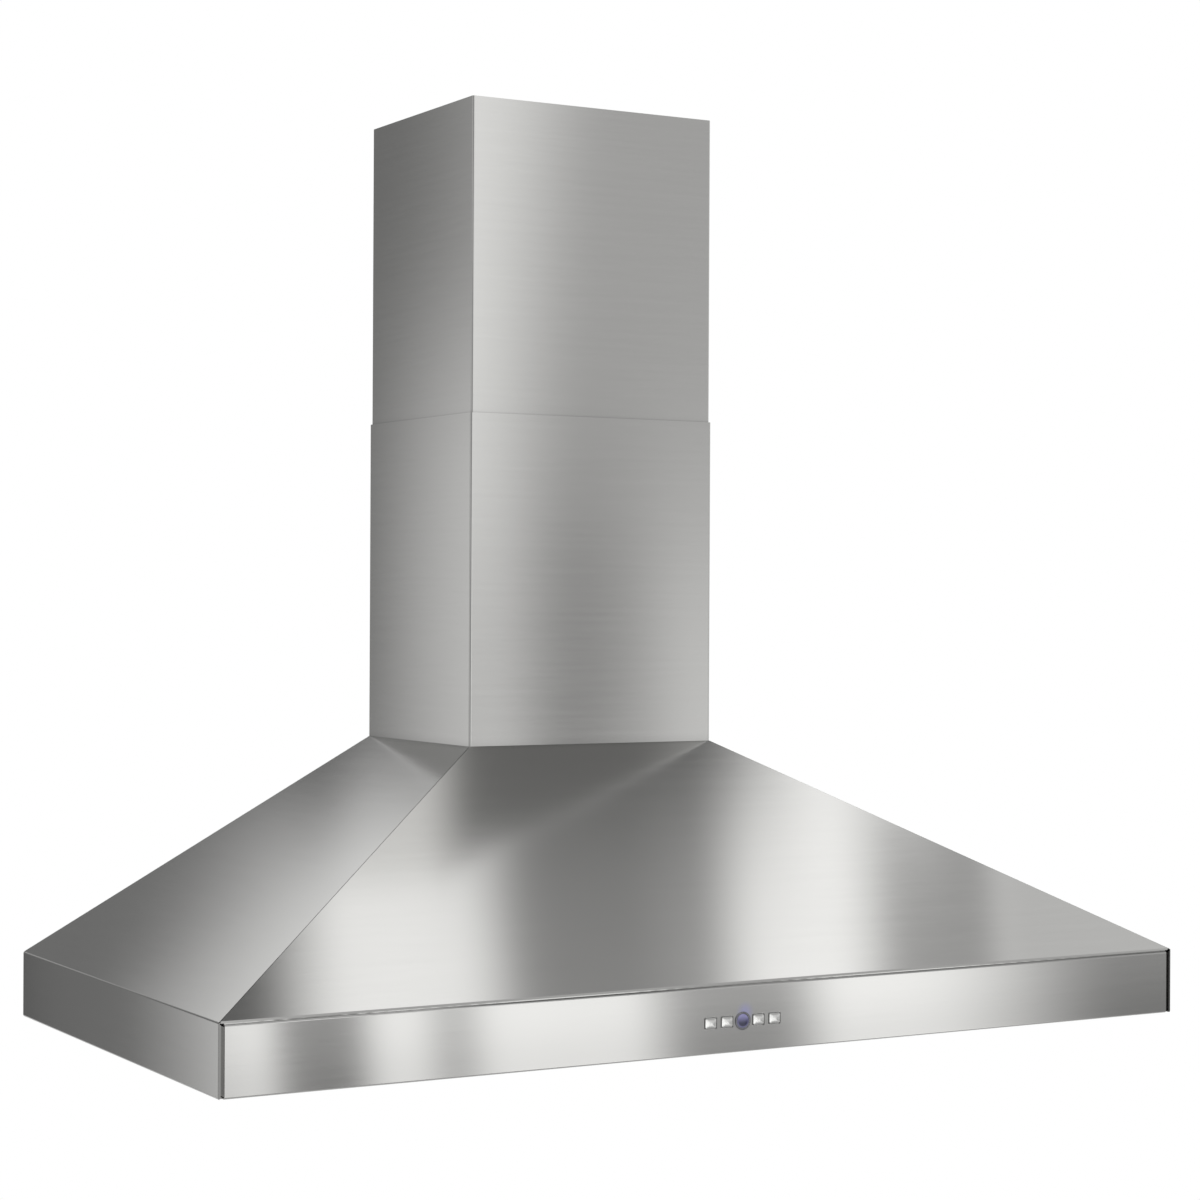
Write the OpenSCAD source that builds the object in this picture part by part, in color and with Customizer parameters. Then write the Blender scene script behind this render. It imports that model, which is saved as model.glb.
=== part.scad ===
// Chimney range hood: a folded pyramid canopy with a telescoping chimney cover.
// X runs left to right, Y into the wall, Z up. The wall is the plane Y = 0 and
// the bottom rim of the canopy is at Z = 0.

/* [Canopy] */
// Width of the canopy, left to right
canopy_w = 1219; // [1000:1:1500]
// Depth of the canopy, wall to fascia
canopy_d = 610; // [560:1:700]
// Height of the straight band round the rim
band_h = 76; // [68:1:110]
// Height of the canopy's top, where the chimney stands
canopy_h = 320; // [312:1:420]
// Thickness of the canopy's steel sheet
sheet_t = 1.2; // [0.8:0.1:1.5]

/* [Chimney] */
// Width of the lower chimney cover
flue_w = 330; // [318:1:400]
// Depth of the lower chimney cover, from the wall
flue_d = 276; // [266:1:330]
// Height of the lower chimney cover
lower_flue_h = 390; // [380:1:520]
// Height of the upper cover that shows above the lower one
upper_flue_show = 370; // [200:1:420]
// Full height of the upper chimney cover
upper_flue_h = 460; // [440:1:560]
// Thickness of the chimney's steel sheet
flue_t = 1; // [0.8:0.1:1.2]
// Gap between the two chimney covers, face to face
slide_gap = 0.6; // [0.4:0.1:1.5]

/* [Duct] */
// Outside diameter of the round duct collar
collar_d = 198; // [190:1:202]
// Height of the duct collar above the canopy's top
collar_h = 62; // [56:1:90]
// Thickness of the collar and its flaps
collar_t = 1; // [0.8:0.1:1.5]
// Radius of the pin that the two flaps hang on
flap_pin_r = 2; // [1.5:0.1:3]

/* [Blower] */
// Outside radius of the fan wheel
wheel_r = 75; // [68:1:76]
// Width of the fan wheel
wheel_w = 96; // [70:1:100]
// Number of blades round the wheel
blade_count = 36; // [24:2:44]
// Inside width of the blower housing
scroll_w = 110; // [108:1:114]
// Radius of each air inlet at its throat
inlet_r = 57; // [48:1:58]
// Radius of the motor's shell
motor_r = 40; // [34:1:42]
// Length of the motor's shell
motor_len = 66; // [50:1:80]
// Radius of the motor shaft
shaft_r = 4; // [3:0.1:5]

/* [Filters] */
// Height of a filter's frame
filter_h = 22; // [18:1:26]
// Width of a grease baffle
baffle_w_share = 0.62; // [0.55:0.01:0.7]
// Number of lower baffles in a filter
baffle_count = 9; // [6:1:11]
// Thickness of the filter's sheet
filter_t = 1; // [0.8:0.1:1.2]
// Depth of the lamp strip in front of the filters
lamp_strip_d = 91; // [84:1:110]
// Depth of the grease trough behind the filters
trough_d = 94; // [70:1:110]

/* [Controls] */
// Width of a push button
button_w = 15; // [12:0.5:17]
// Height of a push button
button_h = 12.6; // [10:0.2:14]
// How far a button stands out of the fascia
button_proud = 1.6; // [1.4:0.1:3]
// How far a button can be pressed
button_travel = 1.2; // [0.8:0.1:1.3]
// Diameter of the round display's rim
display_d = 20; // [16:0.5:22]
// Height of the controls' centre line above the rim
control_z = 34; // [30:0.5:38]

/* [Lamps] */
// Radius of a lamp's housing
lamp_r = 27; // [22:0.5:30]
// Height of a lamp's housing above the lamp strip
lamp_h = 32; // [20:1:36]

/* [Hidden] */

// Overrun of every cut past the face it opens
over = 1;
// Facets of round parts
round_fn = 64;
// Air between pieces of one body that stand next to each other
joint_gap = 0.2;
// Radial play of a shaft or pin in its bore
pin_fit = 0.05;
// Colours
steel = [0.72, 0.72, 0.7];
galvanised = [0.6, 0.62, 0.64];
dark_metal = [0.3, 0.31, 0.33];

// Canopy: runs and rise of the slopes
front_run = canopy_d - flue_d;
side_run = (canopy_w - flue_w) / 2;
rise = canopy_h - band_h;
front_slope = rise / front_run;
half_w = canopy_w / 2;
reach = canopy_w + canopy_d + canopy_h;
front_n = unit([0, -rise, front_run]);
// Outside radius and facets of a bend in the sheet
bend_r = 2.4;
bend_steps = 3;
// Width of the open seam line along a hip
seam = 0.6;
// Width of the strip behind each hip seam, on each side of it
seam_strip_w = 14;
// Width of the top flange under the chimney
top_flange = 14;
// Width of the return at the bottom rim
rim_return = 18;
// Visible dark joint between the side panel's hem and the fascia's end
reveal_w = 6.5;
reveal_d = 6;
// Width of the hem on the side panel's front edge
hem_w = 10;
// Width of the flange behind each end of the fascia
end_flange = 24;
// Setback of the slope's nose and the shadow gap over the fascia
nose_back = 1.5;
nose_drop = sheet_t;
fascia_gap = 1.1;
fascia_top = band_h - nose_drop - fascia_gap;
fascia_half = half_w - reveal_w;
fascia_return = 14;
fascia_lip = 8;
// Height of the front panel's hidden tab behind the fascia
tab_h = 36;

// Liner: height of its underside, and the filter field inside it
liner_z = 24;
liner_flange = 22;
liner_tab_share = 1.6;
side_strip_w = 37;
trough_drop = 11;
trough_rise = 30;
trough_wall_h = 12;
divider_w = 6;
filter_count = 3;
filter_gap = 1.2;
filter_end_gap = 2.5;
tab_y = -canopy_d + rim_return;
liner_front_y = tab_y + sheet_t;
field_front_y = liner_front_y + lamp_strip_d;
field_rear_y = -sheet_t - trough_d;
field_half = half_w - sheet_t - side_strip_w;
filter_w = (field_half * 2 - divider_w * (filter_count - 1) - filter_gap * 2 * filter_count)
    / filter_count;
filter_pitch = filter_w + divider_w + filter_gap * 2;
filter_front_y = field_front_y + filter_end_gap;
filter_rear_y = field_rear_y - filter_end_gap;
// Filter hinge: pegs near the lower rear edge
peg_r = 2;
peg_inset = 4;
peg_end = 1;
hinge_y = filter_rear_y - peg_inset;
hinge_z = liner_z + peg_inset;
filter_lip = 14;
baffle_t = 0.8;
baffle_h = 8.5;
catch_w = 12;
catch_h = 16;
catch_t = 0.6;
catch_bump_r = 1.4;
catch_spread_share = 0.3;
handle_r = 2.5;
handle_w = 60;
handle_drop = 11;
handle_inset = filter_lip / 2;

// Canopy top and wall fixings
plate_t = 2;
plate_top = canopy_h - sheet_t;
plate_bottom = plate_top - plate_t;
plate_edge = 2;
wall_hole_r = 4;
wall_hole_x = 300;
wall_hole_z = 110;
wall_hole_drop = 95;
wall_hole_mid = plate_bottom - wall_hole_drop;
stiffener_w = 380;
stiffener_h = 160;
stiffener_t = 2;

// Chimney covers
flue_bend_r = 2.5;
flue_flange = 15;
flue_foot = 12;
foot_hole_r = 2.2;
foot_screw_r = 2;
foot_screw_x = flue_w / 2 - flue_t - flue_foot / 2;
foot_screw_end = 56;
foot_screw_ys = [-flue_d + foot_screw_end, -foot_screw_end];
upper_inset = flue_t + slide_gap;
seam_z = canopy_h + lower_flue_h;
upper_top = seam_z + upper_flue_show;
upper_bottom = upper_top - upper_flue_h;
bracket_t = 1.5;
bracket_h = 30;
bracket_drop = 6;
bracket_arm = 60;
bracket_gap = 0.8;
bracket_step_x = flue_w / 2 - upper_inset - flue_t - flue_flange - bracket_gap;
bracket_hole_x = 200;
bracket_hole_r = 3.5;
bracket_screw_x = bracket_step_x + flue_flange / 2 + joint_gap;

// Duct collar and its flaps
duct_y = -flue_d / 2;
collar_r = collar_d / 2;
collar_in_r = collar_r - collar_t;
collar_flange = 14;
collar_flange_t = 1.2;
collar_screw_r = collar_r + collar_flange / 2;
flap_rise = 27;
flap_z = plate_top + flap_rise;
flap_play = 1.5;
flap_r = collar_in_r - flap_play;
flap_gap = 1.2;
knuckle_wall = 1.2;
knuckle_r = flap_pin_r + knuckle_wall;
knuckle_gap = 0.5;
knuckle_share = 0.36;

// Blower: centre of the wheel and the spiral's radii
blower_set_back = 36;
blower_y = duct_y + blower_set_back;
blower_drop = 127;
blower_z = plate_bottom - blower_drop;
scroll_t = 1;
scroll_start_gap = 7;
scroll_start_r = wheel_r + scroll_start_gap;
scroll_end_gap = 40;
scroll_end_r = wheel_r + scroll_end_gap;
tongue_angle = 105;
scroll_sweep = 285;
scroll_steps = 38;
scroll_rim = 2;
throat_front_y = blower_y - scroll_end_r;
tongue_y = blower_y + scroll_start_r * cos(tongue_angle);
bell_r = 8;
foot_w = 18;
bolt_r = 2.5;
bolt_hole_r = 2.7;
bolt_head_share = 1.8;
nut_r_share = 1.9;
nut_h_share = 1.6;
bolt_x = scroll_w / 2 + scroll_t + foot_w / 2;
bolt_ys = [throat_front_y + foot_w, tongue_y + foot_w];
blade_t = 0.9;
blade_depth = 12;
blade_arc_r = 11;
blade_steps = 5;
hub_r = 9;
hub_w = 24;
wheel_ring = 3;
wheel_disc_t = 2;
blade_root_r = wheel_r - blade_depth;
blade_end_x = wheel_w / 2 - wheel_ring - joint_gap;
shaft_out = 16;
motor_neck_share = 0.8;
motor_neck_len_share = 0.17;
motor_bore_share = 0.33;
motor_gap = 12;
motor_x = -scroll_w / 2 - scroll_t - motor_gap - motor_len;
shaft_start_x = motor_x + motor_len * motor_bore_share;
bracket_ring_t = 2;
arm_w = 14;
arm_t = 2;
arm_gap = 5;
arm_r = inlet_r + bell_r + arm_gap;
arm_foot = 10;
arm_angles = [30, 150, 270];
capacitor_r = 17;
capacitor_h = 60;
capacitor_x = 122;

// Controls: places of the buttons along the fascia, and depths behind it
button_inner_x = 20.3;
button_pitch = 21;
button_places = [-button_inner_x - button_pitch, -button_inner_x, button_inner_x,
                 button_inner_x + button_pitch];
button_gap = 0.5;
button_round = 1.5;
button_bevel = 0.4;
button_flange = 1.2;
button_flange_t = 1;
button_rest_gap = 0.3;
stem_w = 4;
control_y = -canopy_d + sheet_t;
housing_w = 112;
housing_h = 30;
housing_d = 11;
housing_t = 1.6;
board_t = 1.6;
switch_w = 6;
switch_d = 3.5;
switch_gap = 0.15;
rim_w = 1.6;
rim_proud = 1;
lens_back = 0.4;

// Wiring box, in the corner between the collar and the chimney's walls
wiring_gap = 1.5;
wiring_w = 38;
wiring_d = 42;
wiring_h = 54;
wiring_t = 1;
wiring_x = flue_w / 2 - top_flange - wiring_gap - wiring_w;
wiring_y = -top_flange - wiring_gap - wiring_d;
bush_hole_r = 6;
bush_wall = 3;

// Lamps
lamp_t = 1.2;
lamp_gap = 0.5;
lamp_rim_w = 7;
lamp_rim_h = 2.5;
lamp_lip = 3.5;
lens_t = 2.5;
lamp_x_share = 0.29;
lamp_y = (liner_front_y + field_front_y) / 2;
lamp_x = canopy_w * lamp_x_share;

// Screws
head_h = 2;
head_r = 4;

// Vector and path helpers
function unit(v) = v / norm(v);
function right_of(d) = [d[1], -d[0]];
function turn(v, a) = [v[0] * cos(a) - v[1] * sin(a), v[0] * sin(a) + v[1] * cos(a)];
function seg(p, i) = unit(p[i + 1] - p[i]);
function side_n(s) = unit([s * rise, 0, side_run]);
function hip_n(s) = unit(front_n - side_n(s));
function hip_foot(s) = [s * half_w, -canopy_d, band_h];

// Point i of a path moved a distance t to the right, mitred at the corners
function beside(p, i, t) =
    i == 0 ? p[0] + t * right_of(seg(p, 0)) :
    i == len(p) - 1 ? p[i] + t * right_of(seg(p, i - 1)) :
    let (a = right_of(seg(p, i - 1)), b = right_of(seg(p, i)), m = unit(a + b))
    p[i] + m * t / (m * a);

// Outline of a sheet of thickness t laid along the right of a path
function strip(p, t) = concat(p, [for (i = [len(p) - 1 : -1 : 0]) beside(p, i, t)]);

// Points of the arc that rounds corner i of a path
function arc_at(p, i, r) =
    let (a = seg(p, i - 1), b = seg(p, i), bend = acos(a * b),
         s = a[0] * b[1] - a[1] * b[0] < 0 ? 1 : -1,
         start = p[i] - a * r * tan(bend / 2), spoke = -s * r * right_of(a))
    [for (k = [0 : bend_steps]) start - spoke + turn(spoke, -s * bend * k / bend_steps)];

// A path with every inner corner rounded
function bent(p, r) = concat([p[0]], [for (i = [1 : len(p) - 2]) each arc_at(p, i, r)],
                             [p[len(p) - 1]]);

// Everything on the side of a plane that its normal points to
module half_space(point, n) {
    translate(point)
        rotate([0, acos(n[2]), atan2(n[1], n[0])])
            translate([-reach, -reach, 0])
                cube([reach * 2, reach * 2, reach]);
}

// Sheet with its section in X and Z, running along Y
module sheet_along_y(path, t, y0, y1) {
    translate([0, y1, 0])
        rotate([90, 0, 0])
            linear_extrude(y1 - y0)
                polygon(strip(path, t));
}

// Sheet with its section in Y and Z, running along X
module sheet_along_x(path, t, x0, x1) {
    translate([x0, 0, 0])
        rotate([90, 0, 90])
            linear_extrude(x1 - x0)
                polygon(strip(path, t));
}

// Block between two corners
module block(low, high) {
    translate(low)
        cube(high - low);
}

// Rod along X between two places
module rod_x(r, x0, x1, y, z) {
    translate([x0, y, z])
        rotate([0, 90, 0])
            cylinder(r = r, h = x1 - x0, $fn = round_fn);
}

// Rod along Y between two places
module rod_y(r, y0, y1, x, z) {
    translate([x, y1, z])
        rotate([90, 0, 0])
            cylinder(r = r, h = y1 - y0, $fn = round_fn);
}

// Rod along Z between two heights
module rod_z(r, z0, z1, x, y) {
    translate([x, y, z0])
        cylinder(r = r, h = z1 - z0, $fn = round_fn);
}

// The part of space past a hip seam, above the band
module past_hip(s, towards) {
    intersection() {
        half_space(hip_foot(s) - hip_n(s) * towards * seam / 2, hip_n(s) * towards);
        block([-reach, -reach, band_h], [reach, reach, reach]);
    }
}

// Solid form of the canopy, drawn in by an inset from every outside face
module canopy_core(inset) {
    difference() {
        block([-half_w + inset, -canopy_d + inset, inset],
              [half_w - inset, 0, canopy_h - inset]);
        half_space([0, -canopy_d, band_h] - front_n * inset, front_n);
        for (s = [-1, 1])
            half_space([s * half_w, 0, band_h] - side_n(s) * inset, side_n(s));
    }
}

// Rectangle with round corners, centred
module round_rect(w, h, r) {
    square([w - r * 2, h], center = true);
    square([w, h - r * 2], center = true);
    for (x = [-1, 1], y = [-1, 1])
        translate([x * (w / 2 - r), y * (h / 2 - r)])
            circle(r = r, $fn = round_fn);
}

// A shape drawn in X and Z, as thick as the distance from y0 to y1
module slab_y(y0, y1, x, z) {
    translate([x, y1, z])
        rotate([90, 0, 0])
            linear_extrude(y1 - y0)
                children();
}

// Canopy

// Slope, band and rim return of the left side, bent from one sheet
module side_sheet() {
    path = [[-half_w + rim_return, 0], [-half_w, 0], [-half_w, band_h],
            [-flue_w / 2, canopy_h], [-flue_w / 2 + top_flange, canopy_h]];
    difference() {
        sheet_along_y(bent(path, bend_r), sheet_t, -canopy_d, 0);
        past_hip(-1, 1);
        block([-half_w + sheet_t, -canopy_d - over, -over],
              [-half_w + rim_return + over, -canopy_d + reveal_d, sheet_t]);
        for (y = foot_screw_ys)
            rod_z(foot_hole_r, plate_bottom, canopy_h + over, -foot_screw_x, y);
    }
    block([-half_w + sheet_t, -canopy_d, sheet_t],
          [-half_w + sheet_t * 2, -canopy_d + hem_w, fascia_top]);
    block([-half_w + sheet_t, -canopy_d + reveal_d, sheet_t],
          [-half_w + end_flange, -canopy_d + reveal_d + sheet_t,
           fascia_top - sheet_t - joint_gap]);
}

module canopy_left_panel() {
    color(steel)
        side_sheet();
}

module canopy_right_panel() {
    color(steel)
        mirror([1, 0, 0])
            side_sheet();
}

module canopy_front_panel() {
    nose_y = -canopy_d + nose_back;
    nose_z = band_h - nose_drop;
    upper_bends = [[nose_y, band_h + nose_back * front_slope], [-flue_d, canopy_h],
                   [-flue_d + top_flange, canopy_h]];
    path = concat([[tab_y, nose_z - tab_h], [tab_y, nose_z], [nose_y, nose_z],
                   upper_bends[0]], arc_at(upper_bends, 1, bend_r), [upper_bends[2]]);
    front_half = half_w - sheet_t * 2 - joint_gap;
    color(steel)
        difference() {
            sheet_along_x(path, sheet_t, -front_half, front_half);
            past_hip(-1, -1);
            past_hip(1, -1);
        }
}

module wall_holes() {
    for (x = [-1, 1], z = [-1, 1])
        rod_y(wall_hole_r, -stiffener_t - sheet_t - over, over,
              x * wall_hole_x / 2, wall_hole_mid + z * wall_hole_z / 2);
}

module canopy_back_panel() {
    back_half = half_w - rim_return - joint_gap;
    color(steel)
        difference() {
            union() {
                intersection() {
                    canopy_core(sheet_t);
                    block([-half_w, -sheet_t, 0], [half_w, 0, canopy_h]);
                }
                block([-back_half, -sheet_t, 0], [back_half, 0, sheet_t * 2]);
                block([-back_half, -rim_return, 0], [back_half, 0, sheet_t]);
            }
            wall_holes();
        }
}

module wall_stiffener() {
    color(galvanised)
        difference() {
            block([-stiffener_w / 2, -sheet_t - stiffener_t, wall_hole_mid - stiffener_h / 2],
                  [stiffener_w / 2, -sheet_t, wall_hole_mid + stiffener_h / 2]);
            wall_holes();
        }
}

module canopy_top_plate() {
    color(galvanised)
        difference() {
            block([-flue_w / 2 + plate_edge, -flue_d + plate_edge, plate_bottom],
                  [flue_w / 2 - plate_edge, -sheet_t, plate_top]);
            block([-scroll_w / 2, throat_front_y, plate_bottom - over],
                  [scroll_w / 2, tongue_y, plate_top + over]);
            for (x = [-1, 1], y = foot_screw_ys)
                rod_z(foot_hole_r, plate_bottom - over, plate_top + over, x * foot_screw_x, y);
            for (x = [-1, 1], y = bolt_ys)
                rod_z(bolt_hole_r, plate_bottom - over, plate_top + over, x * bolt_x, y);
            collar_screw_places()
                rod_z(foot_hole_r, plate_bottom - over, plate_top + over, 0, 0);
            rod_z(bush_hole_r, plate_bottom - over, plate_top + over,
                  wiring_x + wiring_w / 2, wiring_y + wiring_d / 2);
        }
}

// Bent strip welded behind a hip seam
module hip_strip(s) {
    intersection() {
        difference() {
            canopy_core(sheet_t);
            canopy_core(sheet_t * 2);
        }
        difference() {
            half_space(hip_foot(s) - hip_n(s) * seam_strip_w, hip_n(s));
            half_space(hip_foot(s) + hip_n(s) * seam_strip_w, hip_n(s));
        }
        block([s < 0 ? -half_w : 0, -canopy_d, band_h + bend_r * 2],
              [s < 0 ? 0 : half_w, 0, plate_bottom - bend_r]);
    }
}

module hip_seam_strips() {
    color(galvanised)
        for (s = [-1, 1])
            hip_strip(s);
}

module control_fascia() {
    path = [[tab_y, fascia_lip], [tab_y, 0], [-canopy_d, 0], [-canopy_d, fascia_top],
            [-canopy_d + fascia_return, fascia_top],
            [-canopy_d + fascia_return, fascia_top - fascia_lip]];
    corner_x = half_w - rim_return - joint_gap;
    color(steel)
        difference() {
            union() {
                sheet_along_x(bent(path, bend_r), sheet_t, -fascia_half, fascia_half);
                for (x = [-fascia_half, fascia_half - sheet_t])
                    block([x, -canopy_d + sheet_t / 2, bend_r],
                          [x + sheet_t, -canopy_d + reveal_d, fascia_top - bend_r]);
            }
            for (x = [-half_w, corner_x])
                block([x, -canopy_d + reveal_d - joint_gap, -over],
                      [x + half_w - corner_x, tab_y + over, fascia_lip + over]);
            for (x = button_places)
                slab_y(-canopy_d - over, control_y + over, x, control_z)
                    round_rect(button_w + button_gap * 2, button_h + button_gap * 2,
                               button_round + button_gap);
            rod_y(display_d / 2 - rim_proud, -canopy_d - over, control_y + over, 0, control_z);
        }
}

// Liner and filters

module liner_front_strip() {
    path = [[field_front_y, liner_z + liner_flange], [field_front_y, liner_z],
            [liner_front_y, liner_z], [liner_front_y, liner_z + liner_flange * liner_tab_share]];
    strip_half = half_w - sheet_t - joint_gap;
    color(steel)
        difference() {
            sheet_along_x(path, sheet_t, -strip_half, strip_half);
            for (x = [-lamp_x, lamp_x])
                rod_z(lamp_r + lamp_gap, liner_z - over, liner_z + sheet_t + over, x, lamp_y);
        }
}

module side_strip() {
    path = [[-field_half, liner_z + liner_flange], [-field_half, liner_z],
            [-half_w + sheet_t, liner_z], [-half_w + sheet_t, liner_z + liner_flange]];
    difference() {
        sheet_along_y(path, sheet_t, field_front_y, field_rear_y);
        rod_x(peg_r + pin_fit, -half_w, -field_half + over, hinge_y, hinge_z);
    }
}

module liner_left_strip() {
    color(steel)
        side_strip();
}

module liner_right_strip() {
    color(steel)
        mirror([1, 0, 0])
            side_strip();
}

module grease_trough() {
    trough_half = half_w - sheet_t - joint_gap;
    path = [[-sheet_t, liner_z + trough_rise], [-sheet_t, liner_z - trough_drop],
            [field_rear_y, liner_z - trough_drop], [field_rear_y, liner_z + trough_wall_h]];
    color(steel)
        sheet_along_x(path, sheet_t, -trough_half, trough_half);
}

module filter_dividers() {
    color(steel)
        for (i = [1 : filter_count - 1]) {
            x = (i - filter_count / 2) * filter_pitch;
            path = [[x + divider_w / 2, liner_z + liner_flange], [x + divider_w / 2, liner_z],
                    [x - divider_w / 2, liner_z], [x - divider_w / 2, liner_z + liner_flange]];
            difference() {
                sheet_along_y(path, sheet_t, field_front_y, field_rear_y);
                rod_x(peg_r + pin_fit, x - divider_w, x + divider_w, hinge_y, hinge_z);
            }
        }
}

function filter_x(i) = (i - (filter_count + 1) / 2) * filter_pitch;

// Leaf catches, two to a filter, on the flange in front of the filters
module filter_catches() {
    catch_z = liner_z + (liner_flange - catch_h) / 2;
    color(dark_metal)
        for (i = [1 : filter_count], s = [-1, 1]) {
            x = filter_x(i) + s * filter_w * catch_spread_share;
            block([x - catch_w / 2, field_front_y, catch_z],
                  [x + catch_w / 2, field_front_y + catch_t, catch_z + catch_h]);
            difference() {
                rod_x(catch_bump_r, x - catch_w / 2, x + catch_w / 2,
                      field_front_y + catch_t / 2, catch_z + catch_h / 2);
                block([x - catch_w, field_front_y - catch_h, liner_z],
                      [x + catch_w, field_front_y, liner_z + filter_h]);
            }
        }
}

module filter_frame(i) {
    x = filter_x(i);
    low = [x - filter_w / 2, filter_front_y, liner_z];
    high = [x + filter_w / 2, filter_rear_y, liner_z + filter_h];
    wall = [filter_t, filter_t, filter_t];
    lip = [filter_lip, filter_lip, -over];
    color(steel) {
        difference() {
            block(low, high);
            block(low + wall, high - wall);
            block(low + lip, high - lip);
        }
        rod_x(peg_r, low[0] - filter_gap - sheet_t - peg_end, low[0] + filter_t,
              hinge_y, hinge_z);
        rod_x(peg_r, high[0] - filter_t, high[0] + filter_gap + sheet_t + peg_end,
              hinge_y, hinge_z);
    }
}

// Two rows of channels, the upper row over the gaps of the lower row
module filter_baffles(i) {
    inner_w = filter_w - filter_t * 2;
    pitch = inner_w / baffle_count;
    half = pitch * baffle_w_share / 2;
    y0 = filter_front_y + filter_t;
    y1 = filter_rear_y - filter_t;
    low_z = liner_z + filter_t;
    high_z = liner_z + filter_h - filter_t;
    left = filter_x(i) - inner_w / 2;
    color(steel) {
        for (k = [1 : baffle_count]) {
            x = left + pitch * (k - 1 / 2);
            sheet_along_y([[x + half, low_z + baffle_h], [x + half, low_z],
                           [x - half, low_z], [x - half, low_z + baffle_h]],
                          baffle_t, y0, y1);
        }
        for (k = [1 : baffle_count - 1]) {
            x = left + pitch * k;
            sheet_along_y([[x - half, high_z - baffle_h], [x - half, high_z],
                           [x + half, high_z], [x + half, high_z - baffle_h]],
                          baffle_t, y0, y1);
        }
    }
}

// Pull under the front edge of a filter, bent from round bar
module filter_handle(i) {
    x = filter_x(i);
    y = filter_front_y + handle_inset;
    z = liner_z - handle_drop;
    color(steel) {
        rod_x(handle_r, x - handle_w / 2, x + handle_w / 2, y, z);
        for (s = [-1, 1]) {
            rod_z(handle_r, z, liner_z, x + s * handle_w / 2, y);
            translate([x + s * handle_w / 2, y, z])
                sphere(r = handle_r, $fn = round_fn);
        }
    }
}

module filter_1_frame() { filter_frame(1); }
module filter_2_frame() { filter_frame(2); }
module filter_3_frame() { filter_frame(3); }
module filter_1_baffles() { filter_baffles(1); }
module filter_2_baffles() { filter_baffles(2); }
module filter_3_baffles() { filter_baffles(3); }
module filter_1_handle() { filter_handle(1); }
module filter_2_handle() { filter_handle(2); }
module filter_3_handle() { filter_handle(3); }

// Chimney covers

// Rectangle from the wall forward, its two front corners rounded
module front_round(w, d, r) {
    translate([-w / 2, -d + r])
        square([w, d - r]);
    translate([-w / 2 + r, -d])
        square([w - r * 2, r]);
    for (s = [-1, 1])
        translate([s * (w / 2 - r), -d + r])
            circle(r = r, $fn = round_fn);
}

// Section of a chimney cover, open at the wall between its two rear flanges
module cover_section(w, d) {
    mouth_w = w - flue_t * 2 - flue_flange * 2;
    difference() {
        front_round(w, d, flue_bend_r);
        translate([0, -flue_t])
            front_round(w - flue_t * 2, d - flue_t * 2, flue_bend_r - flue_t);
        translate([-mouth_w / 2, -flue_t - over])
            square([mouth_w, flue_t + over * 2]);
    }
}

module lower_flue_cover() {
    foot_x = flue_w / 2 - flue_t - flue_foot;
    color(steel)
        difference() {
            union() {
                translate([0, 0, canopy_h])
                    linear_extrude(lower_flue_h)
                        cover_section(flue_w, flue_d);
                for (x = [-foot_x - flue_foot - flue_t / 2, foot_x])
                    block([x, -flue_d + top_flange, canopy_h],
                          [x + flue_foot + flue_t / 2, -flue_t * 2, canopy_h + flue_t]);
            }
            for (x = [-1, 1], y = foot_screw_ys)
                rod_z(foot_hole_r, canopy_h - over, canopy_h + flue_t + over,
                      x * foot_screw_x, y);
        }
}

module flue_screws() {
    color(galvanised)
        for (x = [-1, 1], y = foot_screw_ys) {
            rod_z(foot_screw_r, plate_bottom - head_h, canopy_h + flue_t, x * foot_screw_x, y);
            rod_z(head_r, canopy_h + flue_t, canopy_h + flue_t + head_h, x * foot_screw_x, y);
        }
}

module upper_flue_cover() {
    color(steel)
        difference() {
            translate([0, -upper_inset, upper_bottom])
                linear_extrude(upper_flue_h)
                    cover_section(flue_w - upper_inset * 2, flue_d - upper_inset * 2);
            bracket_screw_places()
                rod_y(foot_hole_r, -flue_d / 2, over, 0, 0);
        }
}

// Bracket that holds the top of the upper cover to the wall
module chimney_bracket() {
    arm_x = flue_w / 2 - upper_inset - flue_t;
    step_y = -upper_inset - flue_t;
    path = [[-arm_x, -bracket_arm], [-arm_x, step_y], [-bracket_step_x, step_y],
            [-bracket_step_x, 0], [bracket_step_x, 0], [bracket_step_x, step_y],
            [arm_x, step_y], [arm_x, -bracket_arm]];
    color(galvanised)
        difference() {
            translate([0, 0, upper_top - bracket_drop - bracket_h])
                linear_extrude(bracket_h)
                    polygon(strip(path, bracket_t));
            bracket_screw_places()
                rod_y(foot_hole_r, -flue_d / 2, over, 0, 0);
            for (x = [-1, 1])
                rod_y(bracket_hole_r, -bracket_t - over, over, x * bracket_hole_x / 2,
                      upper_top - bracket_drop - bracket_h / 2);
        }
}

module bracket_screw_places() {
    for (x = [-1, 1])
        translate([x * bracket_screw_x, 0, upper_top - bracket_drop - bracket_h / 2])
            children();
}

module bracket_screws() {
    head_y = -upper_inset - flue_t - bracket_t;
    color(galvanised)
        bracket_screw_places() {
            rod_y(foot_screw_r, head_y, -joint_gap * 2, 0, 0);
            rod_y(head_r, head_y - head_h, head_y, 0, 0);
        }
}

// Duct collar and flaps

module collar_screw_places() {
    for (a = [45 : 90 : 315])
        translate([collar_screw_r * cos(a), duct_y + collar_screw_r * sin(a), 0])
            children();
}

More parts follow.
